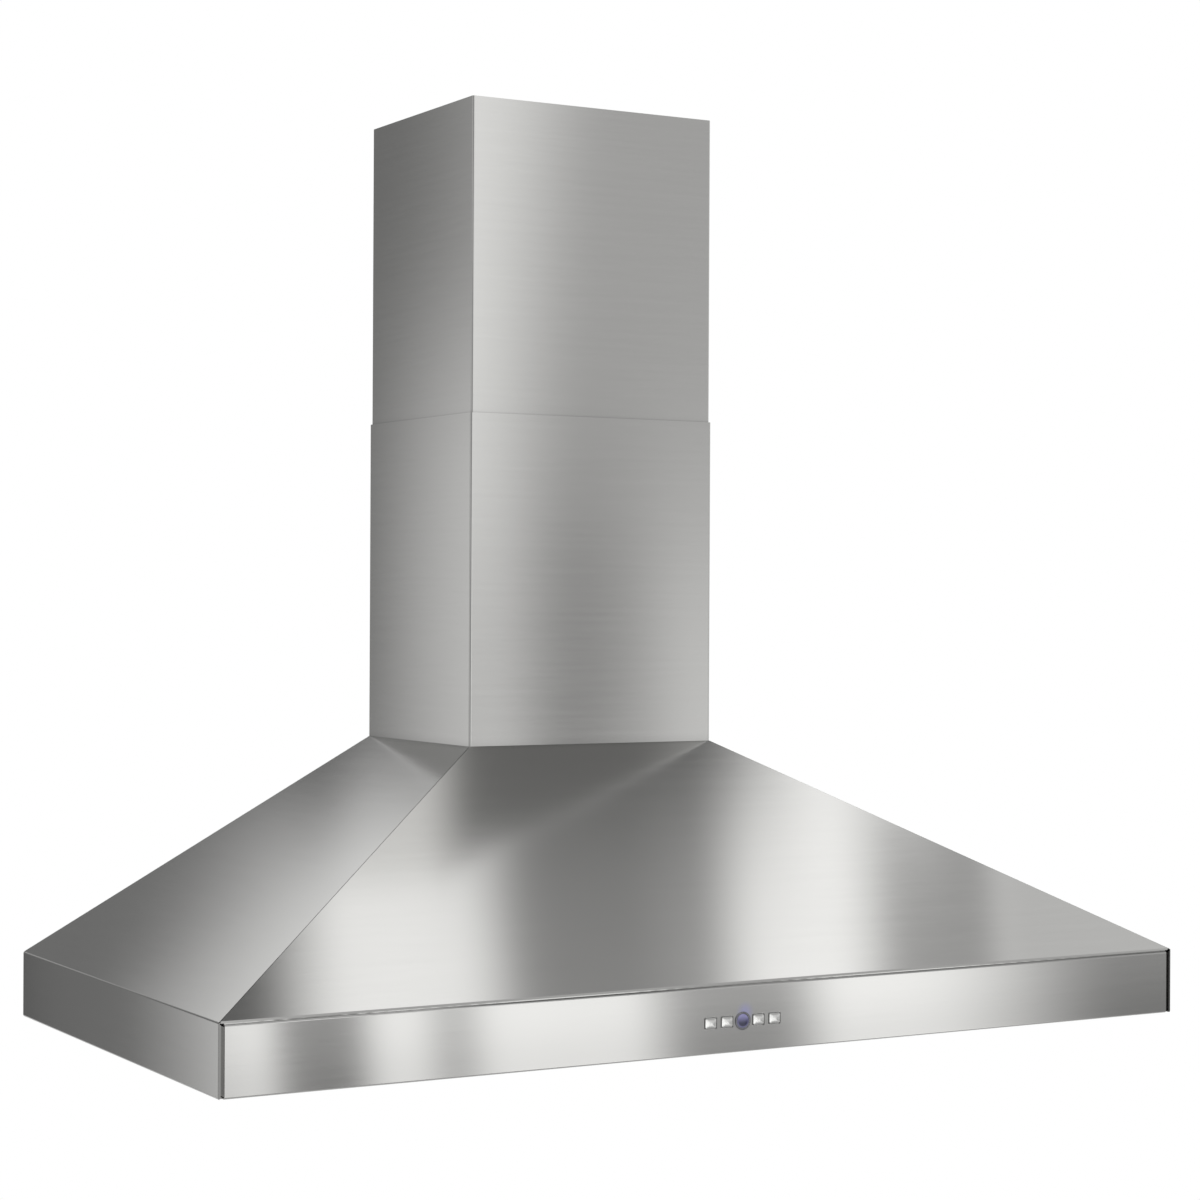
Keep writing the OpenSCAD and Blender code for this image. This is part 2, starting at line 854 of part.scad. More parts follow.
module duct_collar() {
    ledge_z = flap_z - collar_t / 2 - joint_gap;
    color(galvanised)
        difference() {
            union() {
                rod_z(collar_r, plate_top, plate_top + collar_h, 0, duct_y);
                rod_z(collar_r + collar_flange, plate_top, plate_top + collar_flange_t, 0, duct_y);
            }
            difference() {
                rod_z(collar_in_r, plate_top - over, plate_top + collar_h + over, 0, duct_y);
                difference() {
                    rod_z(collar_r, ledge_z - collar_t, ledge_z, 0, duct_y);
                    rod_z(flap_r - flap_gap, ledge_z - collar_t - over, ledge_z + over,
                          0, duct_y);
                }
            }
            rod_x(flap_pin_r + pin_fit, -collar_r - over, collar_r + over, duct_y, flap_z);
            collar_screw_places()
                rod_z(foot_hole_r, plate_top - over, plate_top + collar_flange_t + over, 0, 0);
        }
}

module collar_screws() {
    color(galvanised)
        collar_screw_places() {
            rod_z(foot_screw_r, plate_bottom - head_h, plate_top + collar_flange_t, 0, 0);
            rod_z(head_r, plate_top + collar_flange_t, plate_top + collar_flange_t + head_h, 0, 0);
        }
}

module damper_pin() {
    color(galvanised)
        rod_x(flap_pin_r, -collar_r + joint_gap, collar_r - joint_gap, duct_y, flap_z);
}

// Half disc on curled knuckles; s is 1 towards the wall and -1 towards the room
module damper_flap(s, spans) {
    start = knuckle_r + knuckle_gap;
    color(galvanised)
        difference() {
            union() {
                intersection() {
                    rod_z(flap_r, flap_z - collar_t / 2, flap_z + collar_t / 2, 0, duct_y);
                    block([-collar_r, duct_y + (s > 0 ? start : -collar_r), 0],
                          [collar_r, duct_y + (s > 0 ? collar_r : -start), seam_z]);
                }
                for (x = spans) {
                    rod_x(knuckle_r, x[0], x[1], duct_y, flap_z);
                    block([x[0], duct_y + (s > 0 ? 0 : -start - flap_gap), flap_z - collar_t / 2],
                          [x[1], duct_y + (s > 0 ? start + flap_gap : 0), flap_z + collar_t / 2]);
                }
            }
            rod_x(flap_pin_r + pin_fit, -collar_r, collar_r, duct_y, flap_z);
        }
}

module damper_flap_front() {
    inner = flap_r * knuckle_share;
    outer = flap_r * knuckle_share * 2;
    damper_flap(-1, [[-outer, -inner], [inner, outer]]);
}

module damper_flap_rear() {
    inner = flap_r * knuckle_share - knuckle_gap;
    damper_flap(1, [[-inner, inner]]);
}

// Blower

// Inner path of the scroll: down the tongue, round the spiral, up the throat
function spiral_r(k) = scroll_start_r + (scroll_end_r - scroll_start_r) * k / scroll_steps;
function spiral_a(k) = tongue_angle - scroll_sweep * k / scroll_steps;
function scroll_path() = concat(
    [[tongue_y, plate_bottom]],
    [for (k = [0 : scroll_steps])
        [blower_y + spiral_r(k) * cos(spiral_a(k)), blower_z + spiral_r(k) * sin(spiral_a(k))]],
    [[throat_front_y, plate_bottom]]);

module blower_scroll() {
    color(galvanised)
        sheet_along_x(scroll_path(), -scroll_t, -scroll_w / 2, scroll_w / 2);
}

// Side of the scroll with its bell-mouthed inlet and its fixing feet
module scroll_side() {
    path = scroll_path();
    edge = scroll_t + scroll_rim;
    x0 = scroll_w / 2;
    color(galvanised)
        difference() {
            union() {
                difference() {
                    translate([x0, 0, 0])
                        rotate([90, 0, 90])
                            linear_extrude(scroll_t)
                                polygon([for (i = [0 : len(path) - 1]) beside(path, i, -edge)]);
                    rod_x(inlet_r + bell_r - scroll_t / 2, x0 - over, x0 + scroll_t + over,
                          blower_y, blower_z);
                }
                translate([x0 + scroll_t, blower_y, blower_z])
                    rotate([0, 90, 0])
                        rotate_extrude($fn = round_fn)
                            bell_section();
                block([x0, bolt_ys[0] - foot_w / 2, plate_bottom - scroll_t],
                      [x0 + scroll_t + foot_w, bolt_ys[1] + foot_w / 2, plate_bottom]);
            }
            for (y = bolt_ys)
                rod_z(bolt_hole_r, plate_bottom - scroll_t - over, plate_bottom + over,
                      bolt_x, y);
        }
}

// Quarter ring from the plate's face in to the inlet's throat
module bell_section() {
    intersection() {
        translate([inlet_r + bell_r, -bell_r])
            difference() {
                circle(r = bell_r, $fn = round_fn);
                circle(r = bell_r - scroll_t, $fn = round_fn);
            }
        translate([inlet_r, -bell_r])
            square([bell_r, bell_r]);
    }
}

module blower_left_side() {
    mirror([1, 0, 0])
        scroll_side();
}

module blower_right_side() {
    scroll_side();
}

module blower_bolts() {
    nut_h = bolt_r * nut_h_share;
    color(dark_metal)
        for (x = [-1, 1], y = bolt_ys) {
            rod_z(bolt_r, plate_bottom - scroll_t - nut_h, plate_top, x * bolt_x, y);
            rod_z(bolt_r * bolt_head_share, plate_top, plate_top + head_h, x * bolt_x, y);
            translate([x * bolt_x, y, plate_bottom - scroll_t - nut_h])
                cylinder(r = bolt_r * nut_r_share, h = nut_h, $fn = 6);
        }
}

// Centre line of a blade, a forward-curved arc between the wheel's radii
function blade_path() =
    let (chord = blade_depth, lean = asin(chord / 2 / blade_arc_r),
         mid = [wheel_r - blade_depth / 2, -blade_arc_r * cos(lean)])
    [for (k = [0 : blade_steps])
        let (a = 90 + lean - lean * 2 * k / blade_steps)
        mid + blade_arc_r * [cos(a), sin(a)]];

// Squirrel-cage wheel with an inlet on each side of its centre disc
module blower_wheel() {
    color(galvanised)
        difference() {
            union() {
                for (i = [1 : blade_count])
                    translate([-blade_end_x, blower_y, blower_z])
                        rotate([0, 90, 0])
                            rotate([0, 0, 360 * i / blade_count])
                                linear_extrude(blade_end_x * 2)
                                    polygon(strip(blade_path(), blade_t));
                for (x = [-wheel_w / 2, wheel_w / 2 - wheel_ring])
                    difference() {
                        rod_x(wheel_r + wheel_disc_t / 2, x, x + wheel_ring, blower_y, blower_z);
                        rod_x(wheel_r - blade_depth / 2, x - over, x + wheel_ring + over,
                              blower_y, blower_z);
                    }
                rod_x(blade_root_r - joint_gap, -wheel_disc_t / 2, wheel_disc_t / 2,
                      blower_y, blower_z);
                rod_x(hub_r, -hub_w / 2, hub_w / 2, blower_y, blower_z);
            }
            rod_x(shaft_r + pin_fit / 2, -wheel_w, wheel_w, blower_y, blower_z);
        }
}

module motor_shaft() {
    color(galvanised)
        rod_x(shaft_r, shaft_start_x, shaft_out, blower_y, blower_z);
}

module motor() {
    end_r = motor_r * motor_neck_share;
    end_len = motor_len * motor_neck_len_share;
    color(dark_metal)
        difference() {
            union() {
                rod_x(motor_r, motor_x + end_len, motor_x + motor_len - end_len,
                      blower_y, blower_z);
                rod_x(end_r, motor_x, motor_x + motor_len, blower_y, blower_z);
            }
            rod_x(shaft_r + pin_fit, shaft_start_x - joint_gap,
                  motor_x + motor_len + over, blower_y, blower_z);
        }
}

// Ring round the motor with three arms to the side of the scroll
module motor_bracket() {
    ring_x = motor_x + motor_len / 2;
    plate_x = -scroll_w / 2 - scroll_t;
    color(galvanised) {
        difference() {
            rod_x(motor_r + bracket_ring_t, ring_x, ring_x + arm_w, blower_y, blower_z);
            rod_x(motor_r, ring_x - over, ring_x + arm_w + over, blower_y, blower_z);
        }
        for (a = arm_angles)
            translate([0, blower_y, blower_z])
                rotate([a, 0, 0]) {
                    block([ring_x, motor_r + bracket_ring_t / 2, -arm_w / 2],
                          [ring_x + arm_t, arm_r + arm_t, arm_w / 2]);
                    block([ring_x, arm_r, -arm_w / 2], [plate_x, arm_r + arm_t, arm_w / 2]);
                    block([plate_x - arm_t, arm_r, -arm_w / 2],
                          [plate_x, arm_r + arm_foot, arm_w / 2]);
                }
    }
}

module motor_capacitor() {
    color(dark_metal)
        rod_z(capacitor_r, plate_bottom - capacitor_h, plate_bottom, capacitor_x, duct_y);
}

// Wiring box on the canopy's top, inside the chimney

module wiring_box() {
    low = [wiring_x, wiring_y, plate_top];
    wall = [wiring_t, wiring_t, wiring_t];
    color(galvanised)
        difference() {
            block(low, low + [wiring_w, wiring_d, wiring_h]);
            block(low + wall, low + [wiring_w - wiring_t, wiring_d - wiring_t, wiring_h + over]);
            rod_z(bush_hole_r, plate_top - over, plate_top + wiring_t + over,
                  wiring_x + wiring_w / 2, wiring_y + wiring_d / 2);
        }
}

module wiring_box_cover() {
    low = [wiring_x, wiring_y, plate_top + wiring_h];
    color(galvanised)
        difference() {
            block(low, low + [wiring_w, wiring_d, wiring_t]);
            rod_z(bush_hole_r + bush_wall / 2, low[2] - over, low[2] + wiring_t + over,
                  wiring_x + wiring_w / 2, wiring_y + wiring_d / 2);
        }
}

// Rubber bush in the cover, where a supply cable would enter
module cable_bush() {
    x = wiring_x + wiring_w / 2;
    y = wiring_y + wiring_d / 2;
    z = plate_top + wiring_h + wiring_t;
    color("dimgray")
        difference() {
            union() {
                rod_z(bush_hole_r + bush_wall, z, z + bush_wall, x, y);
                rod_z(bush_hole_r + bush_wall / 2 - joint_gap / 2, z - wiring_t - bush_wall, z,
                      x, y);
            }
            rod_z(bush_hole_r, z - wiring_t - bush_wall - over, z + bush_wall + over, x, y);
        }
}

// Lamps in the strip in front of the filters

module lamp_housing(x) {
    color(galvanised)
        difference() {
            rod_z(lamp_r, liner_z, liner_z + lamp_h, x, lamp_y);
            rod_z(lamp_r - lamp_t, liner_z - over, liner_z + lamp_h - lamp_t, x, lamp_y);
        }
}

module lamp_rim(x) {
    color("silver")
        difference() {
            rod_z(lamp_r + lamp_rim_w, liner_z - lamp_rim_h, liner_z, x, lamp_y);
            rod_z(lamp_r - lamp_lip, liner_z - lamp_rim_h - over, liner_z + over, x, lamp_y);
        }
}

module lamp_lens(x) {
    color([0.9, 0.93, 0.95])
        rod_z(lamp_r - lamp_t - joint_gap, liner_z, liner_z + lens_t, x, lamp_y);
}

module lamp_left_housing() { lamp_housing(-lamp_x); }
module lamp_left_rim() { lamp_rim(-lamp_x); }
module lamp_left_lens() { lamp_lens(-lamp_x); }
module lamp_right_housing() { lamp_housing(lamp_x); }
module lamp_right_rim() { lamp_rim(lamp_x); }
module lamp_right_lens() { lamp_lens(lamp_x); }

// Controls in the fascia

module control_housing() {
    low = [-housing_w / 2, control_y, control_z - housing_h / 2];
    high = [housing_w / 2, control_y + housing_d, control_z + housing_h / 2];
    wall = [housing_t, -over, housing_t];
    color("dimgray")
        difference() {
            block(low, high);
            block(low + wall, high - wall);
        }
}

// Circuit board with a switch behind each button
module control_board() {
    y = control_y + housing_d;
    color("darkgreen") {
        block([-housing_w / 2, y, control_z - housing_h / 2],
              [housing_w / 2, y + board_t, control_z + housing_h / 2]);
        for (x = button_places)
            block([x - switch_w / 2, y - switch_d, control_z - switch_w / 2],
                  [x + switch_w / 2, y + board_t, control_z + switch_w / 2]);
    }
}

module push_button(x) {
    front_y = -canopy_d - button_proud;
    flange_y = control_y + button_rest_gap;
    stem_y = control_y + housing_d - switch_d - button_travel - switch_gap;
    color("silver") {
        slab_y(front_y, front_y + button_bevel, x, control_z)
            round_rect(button_w - button_bevel * 2, button_h - button_bevel * 2,
                       button_round - button_bevel);
        slab_y(front_y + button_bevel, flange_y + button_flange_t, x, control_z)
            round_rect(button_w, button_h, button_round);
        slab_y(flange_y, flange_y + button_flange_t, x, control_z)
            round_rect(button_w + button_flange * 2, button_h + button_flange * 2,
                       button_round);
        slab_y(flange_y, stem_y, x, control_z)
            square([stem_w, stem_w], center = true);
    }
}

module button_1() { push_button(button_places[0]); }
module button_2() { push_button(button_places[1]); }
module button_3() { push_button(button_places[2]); }
module button_4() { push_button(button_places[3]); }

module display_rim() {
    back_y = control_y + housing_d;
    color("silver")
        difference() {
            union() {
                rod_y(display_d / 2, -canopy_d - rim_proud, -canopy_d, 0, control_z);
                rod_y(display_d / 2 - rim_proud - joint_gap / 2, -canopy_d - rim_proud,
                      back_y, 0, control_z);
            }
            rod_y(display_d / 2 - rim_proud - rim_w, -canopy_d - rim_proud - over,
                  back_y + over, 0, control_z);
        }
}

module display_lens() {
    color([0.2, 0.3, 0.85])
        rod_y(display_d / 2 - rim_proud - rim_w - joint_gap / 2,
              -canopy_d - rim_proud + lens_back, control_y + housing_d, 0, control_z);
}

canopy_front_panel();
canopy_left_panel();
canopy_right_panel();
canopy_back_panel();
canopy_top_plate();
hip_seam_strips();
wall_stiffener();
control_fascia();
liner_front_strip();
liner_left_strip();
liner_right_strip();
grease_trough();
filter_dividers();
filter_catches();
lower_flue_cover();
flue_screws();
duct_collar();
collar_screws();
damper_pin();
damper_flap_front();
damper_flap_rear();
blower_scroll();
blower_left_side();
blower_right_side();
blower_bolts();
motor();
motor_bracket();
motor_capacitor();
blower_wheel();
motor_shaft();
wiring_box();
wiring_box_cover();
cable_bush();
lamp_left_housing();
lamp_left_rim();
lamp_left_lens();
lamp_right_housing();
lamp_right_rim();
lamp_right_lens();
control_housing();
control_board();
display_rim();
display_lens();
button_1();
button_2();
button_3();
button_4();
filter_1_frame();
filter_1_baffles();
filter_1_handle();
filter_2_frame();
filter_2_baffles();
filter_2_handle();
filter_3_frame();
filter_3_baffles();
filter_3_handle();
upper_flue_cover();
chimney_bracket();
bracket_screws();
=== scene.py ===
import math
import bmesh
import bpy
import numpy as np
from mathutils import Matrix, Vector


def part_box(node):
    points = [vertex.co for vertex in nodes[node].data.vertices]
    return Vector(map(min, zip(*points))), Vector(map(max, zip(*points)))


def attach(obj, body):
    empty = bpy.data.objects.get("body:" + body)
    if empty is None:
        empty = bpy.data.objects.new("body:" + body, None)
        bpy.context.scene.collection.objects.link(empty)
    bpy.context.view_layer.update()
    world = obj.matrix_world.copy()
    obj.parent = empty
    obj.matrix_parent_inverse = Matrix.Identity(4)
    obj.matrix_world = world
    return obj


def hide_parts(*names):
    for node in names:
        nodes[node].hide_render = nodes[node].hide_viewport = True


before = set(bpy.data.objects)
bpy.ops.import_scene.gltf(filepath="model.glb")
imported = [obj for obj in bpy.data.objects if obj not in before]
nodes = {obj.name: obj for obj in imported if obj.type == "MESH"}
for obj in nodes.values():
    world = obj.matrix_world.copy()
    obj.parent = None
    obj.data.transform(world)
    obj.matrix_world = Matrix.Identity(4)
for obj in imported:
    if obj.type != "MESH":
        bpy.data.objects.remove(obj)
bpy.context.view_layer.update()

# The viewer stands to the left of the hood, level with its middle, and uses a
# long lens. Place and turn come from the hood's own corners.
eye_place = Vector((-1.61503, -3.11609, 0.49285))
eye_turn, eye_tilt, eye_roll = (math.radians(a) for a in (29.7676, -0.0203, 0.2708))
lens_mm = 81.96

ahead = Vector((math.sin(eye_turn) * math.cos(eye_tilt), math.cos(eye_turn) * math.cos(eye_tilt),
                math.sin(eye_tilt)))
level_right = Vector((math.cos(eye_turn), -math.sin(eye_turn), 0))
level_up = level_right.cross(ahead)
eye_right = level_right * math.cos(eye_roll) + level_up * math.sin(eye_roll)
eye_up = level_up * math.cos(eye_roll) - level_right * math.sin(eye_roll)
eye_axes = Matrix((eye_right, eye_up, -ahead)).transposed().to_4x4()
eye = bpy.data.objects.new("eye", bpy.data.cameras.new("eye"))
eye.data.lens = lens_mm
eye.data.sensor_width = 36
eye.matrix_world = Matrix.Translation(eye_place) @ eye_axes
bpy.context.scene.collection.objects.link(eye)
bpy.context.scene.camera = eye
bpy.context.scene.view_settings.view_transform = "Standard"

# The studio is a plain white room. Round the hood stand soft boxes and grey
# flags, which the polished metal sees. Each has its middle and half size: side
# is a direction's share of X, and turn is its angle from level in front, up
# over the hood and down to the wall behind it.
studio = bpy.data.worlds.new("studio")
bpy.context.scene.world = studio
studio.use_nodes = True
sky = studio.node_tree
sky.nodes.clear()
room_light = 0.95
metal_room = 0.60
room_rise = 0.16


def node(tree, kind, *values, **named):
    """Adds a node. Its inputs, by order or by name, are set to a number or joined to a socket."""
    made = tree.nodes.new("ShaderNode" + kind)
    pairs = list(zip(made.inputs, values))
    pairs += [(made.inputs[name.replace("_", " ")], value) for name, value in named.items()]
    for socket, value in pairs:
        if isinstance(value, bpy.types.NodeSocket):
            tree.links.new(value, socket)
        else:
            socket.default_value = value
    return made


def sum_of(tree, operation, *values):
    """One step of arithmetic, as the socket that gives its result."""
    made = node(tree, "Math", *values)
    made.operation = operation
    return made.outputs[0]


def soft_step(tree, value, start, end, low=0.0, high=1.0):
    """Goes smoothly from low to high while value goes from start to end."""
    made = node(tree, "MapRange", value, start, end, low, high)
    made.interpolation_type = "SMOOTHSTEP"
    return made.outputs[0]


def blend_of(tree, share, first, second):
    """Mix of two numbers: the first plus the share times their difference."""
    return sum_of(tree, "MULTIPLY_ADD", share, sum_of(tree, "SUBTRACT", second, first), first)


def within(tree, value, middle, half, soft):
    """1 inside middle plus or minus half, falling smoothly to 0 over the softness."""
    off = sum_of(tree, "ABSOLUTE", sum_of(tree, "SUBTRACT", value, middle))
    return soft_step(tree, off, half + soft / 2, half - soft / 2)


direction = node(sky, "SeparateXYZ", node(sky, "TexCoord").outputs["Generated"])
side, away, rise = direction.outputs
turn = sum_of(sky, "MULTIPLY", sum_of(sky, "ARCTAN2", rise, sum_of(sky, "MULTIPLY", away, -1.0)),
              math.degrees(1))
# side middle, half, softness; turn middle, half, softness; level
cards = (
    # what the chimney's front sees
    (0.520, 0.140, 0.050, 18, 36, 3, 0.55),
    (0.415, 0.055, 0.044, 3, 21, 8, 1.12),
    (0.430, 0.040, 0.040, -9, 10, 8, 0.66),
    (0.545, 0.030, 0.024, -9, 10, 8, 0.90),
    (0.487, 0.014, 0.030, -9, 10, 10, 0.22),
    # what the low band in front sees
    (0.500, 0.300, 0.100, -40, 33, 2, 1.40),
    (0.350, 0.026, 0.020, -40, 33, 2, 0.98),
    (0.401, 0.015, 0.012, -40, 33, 2, 0.26),
    (0.445, 0.008, 0.014, -40, 33, 2, 0.66),
    (0.533, 0.023, 0.022, -40, 33, 2, 0.40),
    (0.700, 0.084, 0.060, -40, 33, 2, 0.28),
    # what the front slope sees of the chimney
    (0.500, 0.250, 0.060, 72, 18, 6, 0.60),
    (0.480, 0.040, 0.030, 72, 18, 6, 0.24),
    (0.400, 0.046, 0.020, 72, 18, 6, 1.20),
    # what the front slope sees overhead
    (0.500, 0.250, 0.060, 112, 24, 6, 0.50),
    (0.360, 0.026, 0.020, 112, 24, 6, 0.15),
    (0.430, 0.031, 0.028, 112, 24, 6, 1.30),
    (0.555, 0.022, 0.024, 112, 24, 6, 1.40),
    (0.597, 0.012, 0.018, 112, 24, 6, 0.45),
    (0.616, 0.004, 0.012, 112, 24, 6, 0.90),
    (0.660, 0.044, 0.018, 112, 24, 6, 0.72),
    (0.491, 0.020, 0.024, 112, 24, 6, 0.38),
    (0.584, 0.016, 0.020, 118, 15, 5, 1.25),
    (0.500, 0.052, 0.040, 118, 15, 5, 0.02),
    # to the other side
    (-0.30, 0.08, 0.10, 0, 70, 30, 1.05),
    (-0.55, 0.09, 0.10, 0, 70, 30, 0.30),
    (-0.80, 0.14, 0.10, 0, 70, 30, 0.22),
    (-0.462, 0.012, 0.030, 0, 60, 30, 0.80),
    (-0.518, 0.008, 0.020, 0, 60, 30, 0.14),
    (0.08, 0.22, 0.10, 0, 60, 30, 1.20),
    (0.85, 0.06, 0.08, 0, 70, 30, 0.80),
    # straight in front
    (-0.10, 0.030, 0.06, 0, 60, 30, 0.55),
    (0.03, 0.025, 0.05, 0, 60, 30, 0.34),
    (0.15, 0.015, 0.04, 0, 60, 30, 0.60),
    # in front, high up
    (0.24, 0.040, 0.06, 50, 22, 16, 0.36),
    (0.02, 0.060, 0.08, 50, 22, 16, 0.90),
    # overhead, away from the viewer
    (-0.42, 0.070, 0.10, 90, 45, 18, 1.05),
    (-0.15, 0.080, 0.10, 90, 45, 18, 0.28),
    (0.08, 0.055, 0.08, 90, 45, 18, 1.15),
    (0.21, 0.012, 0.03, 90, 45, 18, 0.40),
)
# behind the wall: share of X middle, half, softness; share of Z middle, half, softness; level
back_cards = (
    (-0.360, 0.090, 0.060, 0.00, 0.40, 0.06, 0.20),
    (-0.400, 0.040, 0.050, -0.22, 0.12, 0.05, 0.85),
    (-0.490, 0.052, 0.060, -0.05, 0.14, 0.10, 0.80),
    (-0.290, 0.015, 0.020, -0.20, 0.10, 0.05, 0.08),
    (-0.140, 0.070, 0.030, 0.38, 0.100, 0.05, 0.25),
    (0.100, 0.120, 0.050, 0.40, 0.250, 0.10, 1.10),
    (0.260, 0.095, 0.030, 0.38, 0.100, 0.05, 0.36),
    (0.120, 0.160, 0.050, 0.25, 0.135, 0.08, 0.20),
    (0.200, 0.055, 0.030, 0.33, 0.058, 0.02, 0.10),
    (-0.660, 0.110, 0.040, 0.05, 0.200, 0.10, 0.12),
    (0.400, 0.040, 0.080, -0.20, 0.220, 0.15, 0.30),
    (0.540, 0.040, 0.070, -0.20, 0.220, 0.15, 1.10),
    (0.240, 0.050, 0.080, -0.20, 0.180, 0.12, 1.05),
    (-0.270, 0.040, 0.060, -0.36, 0.080, 0.10, 1.05),
    (0.020, 0.050, 0.090, -0.10, 0.200, 0.12, 0.32),
    (-0.110, 0.030, 0.060, -0.10, 0.200, 0.12, 1.00),
)
level = sum_of(sky, "MULTIPLY_ADD", rise, room_rise, metal_room)
for side_at, side_half, side_soft, turn_at, turn_half, turn_soft, card_level in cards:
    seen = sum_of(sky, "MULTIPLY", within(sky, side, side_at, side_half, side_soft),
                  within(sky, turn, turn_at, turn_half, turn_soft))
    level = blend_of(sky, seen, level, card_level)
behind = soft_step(sky, away, 0.5, 0.7)
for side_at, side_half, side_soft, rise_at, rise_half, rise_soft, card_level in back_cards:
    seen = sum_of(sky, "MULTIPLY", within(sky, side, side_at, side_half, side_soft),
                  within(sky, rise, rise_at, rise_half, rise_soft))
    seen = sum_of(sky, "MULTIPLY", seen, behind)
    level = blend_of(sky, seen, level, card_level)
# beside the hood, either way: share of Y middle, half, softness; level
side_cards = (
    (-0.28, 0.070, 0.12, 0.85),
    (-0.08, 0.045, 0.09, 0.26),
    (0.07, 0.030, 0.06, 0.92),
    (0.20, 0.040, 0.08, 0.36),
)
beside = soft_step(sky, sum_of(sky, "ABSOLUTE", side), 0.82, 0.92)
for away_at, away_half, away_soft, card_level in side_cards:
    seen = sum_of(sky, "MULTIPLY", within(sky, away, away_at, away_half, away_soft), beside)
    level = blend_of(sky, seen, level, card_level)
# below: share of X middle, half, softness; share of Y middle, half, softness; level
low_cards = (
    (0.00, 1.20, 0.10, 0.00, 1.20, 0.10, 0.38),
    (0.10, 0.90, 0.10, 0.30, 0.07, 0.10, 0.95),
    (0.10, 0.90, 0.10, -0.25, 0.05, 0.10, 0.80),
    (-0.40, 0.06, 0.12, 0.00, 0.90, 0.10, 0.70),
)
beneath = soft_step(sky, rise, -0.45, -0.65)
for side_at, side_half, side_soft, away_at, away_half, away_soft, card_level in low_cards:
    seen = sum_of(sky, "MULTIPLY", within(sky, side, side_at, side_half, side_soft),
                  within(sky, away, away_at, away_half, away_soft))
    level = blend_of(sky, sum_of(sky, "MULTIPLY", seen, beneath), level, card_level)
ray = node(sky, "LightPath")
level = blend_of(sky, ray.outputs["Is Diffuse Ray"], level, room_light)
plain = sum_of(sky, "MAXIMUM", ray.outputs["Is Camera Ray"], ray.outputs["Is Transmission Ray"])
level = blend_of(sky, plain, level, 1.0)
sky_shader = node(sky, "Background", node(sky, "CombineColor", level, level, level).outputs[0], 1.0)
node(sky, "OutputWorld", sky_shader.outputs[0])

# Floor: the pale kitchen floor, a plain round of painted boards 1.7 m under the
# rim, where such a hood hangs. Seen from below it lets the view through.
floor_drop = 1.7
floor_radius = 4.5
floor_rings = 6
floor_steps = 96
floor_eye_share = 0.01
floor_white = 0.93
floor_glow = 0.16
sharp_edge = math.radians(38)


def grid_faces(rows, columns):
    """Faces of a grid of rings, each ring closed on itself. The face at a row and column joins
    that point, the next in its ring, and the same two in the ring after."""
    row, column = np.meshgrid(np.arange(rows - 1), np.arange(columns), indexing="ij")
    here, there = row * columns + column, row * columns + (column + 1) % columns
    return np.stack((here, there, there + columns, here + columns), axis=-1).reshape(-1, 4)


def through_rings(rings, loop=False):
    """Points and faces of a skin over rings of points. Its ends close in the middle of their
    rings, and a loop joins the last ring to the first instead."""
    rings = np.asarray(rings, float)
    count, steps = rings.shape[:2]
    points = rings.reshape(-1, 3)
    faces = (grid_faces(count + loop, steps) % len(points)).tolist()
    for ring, start in () if loop else ((rings[0], 0), (rings[-1], len(points) - steps)):
        pole = len(points)
        points = np.vstack((points, ring.mean(axis=0)))
        faces += [(start + k, start + (k + 1) % steps, pole) for k in range(steps)]
    return points, faces


def new_piece(name, *forms):
    """A smooth mesh object at the origin, of forms that are each points and faces, with its
    normals out and its sharp edges kept sharp."""
    mesh = bpy.data.meshes.new(name)
    starts = np.cumsum([0] + [len(points) for points, faces in forms])
    faces = [[int(corner) + int(start) for corner in face]
             for (points, form_faces), start in zip(forms, starts) for face in form_faces]
    mesh.from_pydata(np.vstack([points for points, faces in forms]).tolist(), [], faces)
    skin = bmesh.new()
    skin.from_mesh(mesh)
    bmesh.ops.recalc_face_normals(skin, faces=skin.faces)
    skin.to_mesh(mesh)
    skin.free()
    mesh.polygons.foreach_set("use_smooth", np.full(len(mesh.polygons), True))
    mesh.set_sharp_from_angle(angle=sharp_edge)
    mesh.update()
    piece = bpy.data.objects.new(name, mesh)
    bpy.context.scene.collection.objects.link(piece)
    return piece


angle = np.arange(floor_steps) * math.tau / floor_steps
reach = np.linspace(floor_eye_share, 1, floor_rings)[:, None] * floor_radius
floor_points = np.stack((reach * np.cos(angle), reach * np.sin(angle), 0 * reach * angle - floor_drop),
                        axis=-1)
floor_faces = [*grid_faces(floor_rings, floor_steps).tolist(), range(floor_steps)]
floor = new_piece("floor", (floor_points.reshape(-1, 3), floor_faces))
if floor.data.polygons[0].normal.z < 0:
    floor.data.flip_normals()


def new_material(name):
    """An empty material with its tree, its main shader and its output."""
    made = bpy.data.materials.new(name)
    made.use_nodes = True
    tree = made.node_tree
    tree.nodes.clear()
    shader = tree.nodes.new("ShaderNodeBsdfPrincipled")
    out = tree.nodes.new("ShaderNodeOutputMaterial")
    tree.links.new(shader.outputs[0], out.inputs[0])
    return made, tree, shader, out


floor_paint, tree, shader, out = new_material("floor_paint")
shader.inputs["Base Color"].default_value = (floor_white, floor_white, floor_white, 1)
shader.inputs["Roughness"].default_value = 0.9
shader.inputs["Specular IOR Level"].default_value = 0
white = node(tree, "Emission", (1, 1, 1, 1), floor_glow)
bright = node(tree, "AddShader", shader.outputs[0], white.outputs[0])
clear = node(tree, "BsdfTransparent", (1, 1, 1, 1))
from_below = node(tree, "NewGeometry").outputs["Backfacing"]
sides = node(tree, "MixShader", from_below, bright.outputs[0], clear.outputs[0])
tree.links.new(sides.outputs[0], out.inputs[0])
floor.data.materials.append(floor_paint)
floor.visible_glossy = False

